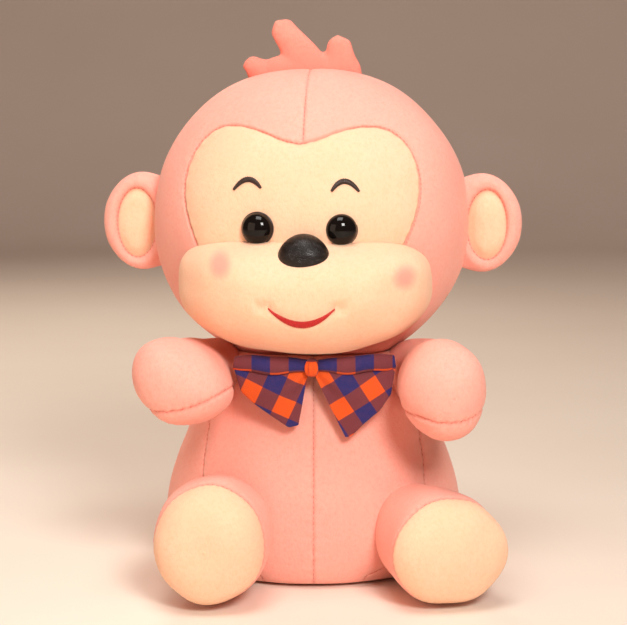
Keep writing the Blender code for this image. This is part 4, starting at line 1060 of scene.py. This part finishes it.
# ---------------------------------------------------------------- bow
# A bow of cotton gingham, woven from 9 mm stripes of orange and navy yarn: two double wings folded over in a band
# along the top, gathered and wrapped by a small knot that is sewn to the chest.
gingham, tree = new_material("woven cotton gingham, orange and navy")
cloth = add(tree, "UVMap", uv_map="cloth").outputs[0]
across_way = add(tree, "SeparateXYZ", {0: cloth})
CHECK = 9.0  # millimetres of one stripe
stripes = []
for way in (0, 1):
    turned_by = add(tree, "Math", {0: across_way.outputs[way], 1: math.pi / CHECK}, operation="MULTIPLY")
    wave = add(tree, "Math", {0: turned_by.outputs[0]}, operation="SINE")
    stripes.append(add(tree, "MapRange", {"Value": wave.outputs[0], 1: -0.05, 2: 0.05, 3: 0.0, 4: 1.0}))
# Threads are 0.25 mm apart, too fine to show, so the plain weave is drawn at 0.55 mm.
threads = []
for way in (0, 1):
    turned_by = add(tree, "Math", {0: across_way.outputs[way], 1: math.pi / 0.55}, operation="MULTIPLY")
    threads.append(add(tree, "Math", {0: turned_by.outputs[0]}, operation="SINE"))
weave = add(tree, "Math", {0: threads[0].outputs[0], 1: threads[1].outputs[0]}, operation="MULTIPLY")
# Orange yarn over orange, navy over navy, and where they cross a brown that the eye mixes from the two.
one_way = two_tone(tree, stripes[0].outputs[0], "#E65A1B", "#76383E")
other_way = two_tone(tree, stripes[0].outputs[0], "#76383E", "#2A2B6B")
colour = two_tone(tree, stripes[1].outputs[0], one_way.outputs[2], other_way.outputs[2])
shaded = add(tree, "MapRange", {"Value": weave.outputs[0], 1: -0.6, 2: 0.6, 3: 0.0, 4: 0.14})
darker = add(tree, "Mix", {0: 1.0, 6: colour.outputs[2], 7: linear("#8C8494")}, data_type="RGBA",
             blend_type="MULTIPLY")
colour = two_tone(tree, shaded.outputs[0], colour.outputs[2], darker.outputs[2])
slub = add(tree, "TexNoise", {"Vector": cloth, "Scale": 1 / 3.0, "Detail": 3.0})
dusty = add(tree, "MapRange", {"Value": slub.outputs[0], 1: 0.3, 2: 0.7, 3: 0.0, 4: 0.1})
colour = two_tone(tree, dusty.outputs[0], colour.outputs[2], "#7E4A52")
bump = add(tree, "Bump", {"Height": weave.outputs[0], "Strength": 0.25, "Distance": 0.00018})
surface(tree, colour, 0.82, Normal=bump.outputs[0], Specular_IOR_Level=0.25, Sheen_Weight=0.18, Sheen_Roughness=0.4)


def cloth_piece(name, points, uv, thick):
    """A sheet of cloth from a grid of points, given its thickness by Solidify and applied."""
    piece = grid_piece(name, points, uv=uv, closed=False)
    modifier = piece.modifiers.new("thickness", "SOLIDIFY")
    modifier.thickness = thick * 0.001
    modifier.offset = 0.0
    solid = bpy.data.meshes.new_from_object(piece.evaluated_get(bpy.context.evaluated_depsgraph_get()))
    piece.modifiers.clear()
    piece.data = solid
    return piece


def bow_depth(x, z):
    """Y of the chest's front, which the bow lies against, from the body's rows."""
    deep = np.interp(z, body_rows[:, 0], body_rows[:, 2])
    wide = np.interp(z, body_rows[:, 0], body_rows[:, 1])
    return -deep * np.sqrt(np.clip(1 - (x / wide) ** 2, 0.05, 1))


WING = {  # outer edge from the upper corner to the tip, and where the wing starts and ends at the knot
    "right": ([(-38.8, 112.0), (-35.0, 99.6), (-29.2, 94.2), (-21.8, 88.9), (-11.7, 82.0), (-7.1, 83.2)],
              (-2.8, 113.2), (-3.1, 106.5)),
    "left": ([(39.8, 113.0), (37.6, 98.6), (32.2, 90.6), (24.0, 83.6), (18.2, 77.6), (15.2, 77.2)],
             (2.2, 113.4), (1.0, 106.5)),
}
WING_CHECKS = {"right": (-25.0, (-14.4, 92.1)), "left": (33.0, (13.6, 91.2))}  # turn, middle of an orange square
BAND_SHIFT = {"right": 12.1, "left": 15.65}  # puts the navy squares where the folded edge shows them
u = np.linspace(0, 1, 90)[:, None]
v = np.linspace(0, 1, 110)[None, :]
for side, (edge, start, end) in WING.items():
    sign = 1 if side == "left" else -1
    # A wing is fanned: each line of the fan leaves the knot and ends on the outer edge, from top corner to tip.
    along = distance_along(edge)
    rim = sampled(v[0] * along[-1], along, edge)
    smooth = np.hanning(9)[1:-1]
    smooth /= smooth.sum()
    padded_rim = np.concatenate([np.repeat(rim[:1], 3, 0), rim, np.repeat(rim[-1:], 3, 0)])
    rim = np.stack([np.convolve(padded_rim[:, k], smooth, "valid") for k in (0, 1)], -1)[None]
    root = np.array(start) + (np.array(end) - start) * v[..., None]
    flat_xz = root + (rim - root) * u[..., None]
    x, z = flat_xz[..., 0], flat_xz[..., 1]
    # The cloth hollows under the folded band, swells below it and ripples where the knot gathers it.
    hollow = 2.6 * np.exp(-(((v - 0.12) / 0.14) ** 2)) * np.sin(np.pi * np.clip(u * 1.05, 0, 1)) ** 0.6
    swell = 3.2 * np.sin(np.pi * np.clip(u * 0.9, 0, 1)) ** 0.8 * np.sin(np.pi * np.clip(0.15 + 0.8 * v, 0, 1))
    pleat = 0.9 * np.sin(4.2 * np.pi * v + 0.4) * np.sin(np.pi * np.clip(u * 1.25, 0, 1)) * (1 - 0.6 * u)
    y = -57.6 - swell - pleat + hollow - 1.6 * u * v
    turn_by, square = WING_CHECKS[side]
    c, s = math.cos(math.radians(turn_by)), math.sin(math.radians(turn_by))
    mx, mz = x - square[0], z - square[1]
    uv = np.stack([c * mx + s * mz, -s * mx + c * mz], -1) - CHECK / 2
    front = np.stack([x, y, z], -1)
    gape = 0.9 + 1.5 * np.sin(np.pi * u) + 0 * v
    chest = np.minimum(bow_depth(x, z), -20)
    back = np.stack([x * 0.985, np.minimum(y + 2 * gape, chest - 0.8), z], -1)
    fold = front[-1:] * 0.5 + back[-1:] * 0.5 + (sign * 0.4, 0, -0.4)
    loop = np.concatenate([front, fold, back[::-1]])
    loop_uv = np.concatenate([uv, uv[-1:] + (0.6 * sign, 0), uv[::-1] + (1.2 * sign, 0)])
    wing = cloth_piece(f"bow_wing_{side}_cloth", loop, loop_uv, 0.5)
    finish_piece(wing, gingham, "torso", [f"bow_wing_{side}"])
    # The wing's upper part is rolled forward into a level band: over the top, down the front and tucked in below.
    run = np.linspace(0, 1, 100)[:, None]
    roll = np.linspace(130, -85, 40)[None, :]
    high = 2.5 + 1.5 * np.sin(np.pi / 2 * np.clip(run * 2.2, 0, 1)) - 1.3 * np.clip((run - 0.78) / 0.22, 0, 1) ** 2
    deep = 2.0 + 1.5 * np.sin(np.pi * np.clip(run * 0.95, 0, 1)) ** 0.8
    bx = sign * 1.6 + (edge[0][0] - sign * 1.6) * run + 0.5 * np.sin(np.radians(roll)) * run * -sign
    around = np.radians(roll)
    uneven = 0.1 * np.sin(3.4 * np.pi * run + 0.5 * sign) * (1 - np.sin(around) * 0.6)
    bz = 112.0 + (2.1 if side == "left" else 1.4) * run**1.5 + high * (np.sin(around) + uneven)
    by = -58.6 + 1.2 * run - deep * np.cos(np.radians(roll)) - 0.7 * np.sin(np.pi * run)
    band_uv = np.stack([bx + BAND_SHIFT[side] + 0 * bz, 4.9 - np.radians(45 - roll) * 3.2 + 0 * bx], -1)
    band = cloth_piece(f"bow_band_{side}", np.stack([bx, by, bz], -1), band_uv, 0.55)
    finish_piece(band, gingham, "torso")

angle = np.linspace(0, 2 * np.pi, 90, endpoint=False)[None, :]
level = np.linspace(0, np.pi, 60)[:, None]
KNOT = np.array([-0.9, -60.0, 111.4])
crease = 0.45 * np.sin(7 * angle + 0.8) * np.sin(level) ** 2
points = np.stack([
    (3.4 + crease) * np.sign(np.cos(angle)) * np.abs(np.cos(angle)) ** 0.7 * np.sin(level) ** 0.7,
    (4.6 + crease) * np.sin(angle) * np.sin(level) ** 0.7,
    4.4 * np.cos(level) + 0 * angle,
], -1)
points[[0, -1]] = points[[0, -1]].mean(axis=1, keepdims=True)
uv = np.stack([3.6 * (angle - np.pi * 1.5) - 4.0 + 0 * level, 4.4 * (level - np.pi / 2) - 5.2 + 0 * angle], -1)
knot = grid_piece("bow_knot_cloth", points + KNOT, uv=uv, first_pole=True, last_pole=True)
finish_piece(knot, gingham, "torso", ["bow_knot"])

# ---------------------------------------------------------------- table, light and view
# A plain pale floor that curves up behind. A large key lamp at the upper right in front, one above, a weaker warm one
# at the other side and one behind.
run = np.linspace(-5000, 3200, 300)[:, None]
rise = np.where(run > 1500, 0.0009 * (run - 1500) ** 2, 0.0)
wide = np.linspace(-5000, 5000, 40)[None, :]
points = np.stack([wide + 0 * run, run + 0 * wide, rise + 0 * wide], -1)
floor = grid_piece("floor", points, closed=False)
if floor.data.polygons[0].normal.z < 0:
    floor.data.flip_normals()
pale, tree = new_material("pale matt table")
place = add(tree, "TexCoord").outputs["Object"]
mottle = add(tree, "TexNoise", {"Vector": place, "Scale": 6.0, "Detail": 3.0})
colour = two_tone(tree, mottle.outputs[0], "#EADFD0", "#F1E8DB")
surface(tree, colour, 0.55)
floor.data.materials.append(pale)

scene = bpy.context.scene
scene.view_settings.view_transform = "Standard"
world = bpy.data.worlds.new("studio")
scene.world = world
world.use_nodes = True
world.node_tree.nodes["Background"].inputs[0].default_value = linear("#FFC8B2")
world.node_tree.nodes["Background"].inputs[1].default_value = 0.17


def lamp(name, place, target, size, watts, colour):
    """A square soft lamp that faces a target."""
    light = bpy.data.lights.new(name, "AREA")
    light.shape, light.size, light.energy, light.color = "SQUARE", size, watts, linear(colour)[:3]
    lamp_object = bpy.data.objects.new(name, light)
    lamp_object.location = place
    lamp_object.rotation_euler = (Vector(target) - Vector(place)).to_track_quat("-Z", "Y").to_euler()
    scene.collection.objects.link(lamp_object)


lamp("key_lamp", (0.34, -1.15, 0.82), (0, 0, 0.12), 0.34, 14.5, "#FFFBF7")
lamp("top_lamp", (-0.05, -0.35, 1.15), (0, 0, 0.15), 0.5, 6.5, "#FFFBF7")
lamp("fill_lamp", (-0.9, -0.8, 0.35), (0, 0, 0.12), 0.9, 4.0, "#FFDCC8")
lamp("back_lamp", (-0.3, 0.9, 0.8), (0, 0, 0.16), 0.6, 4.5, "#FFF0DE")

camera = bpy.data.cameras.new("camera")
camera.sensor_width, camera.lens = 36.0, 111.4
camera.clip_start = 0.05
camera_object = bpy.data.objects.new("camera", camera)
camera_object.location = (0.0, -0.99027, 0.26917)
camera_object.rotation_euler = (Vector((0, 0, 0.130)) - camera_object.location).to_track_quat("-Z", "Y").to_euler()
scene.collection.objects.link(camera_object)
scene.camera = camera_object
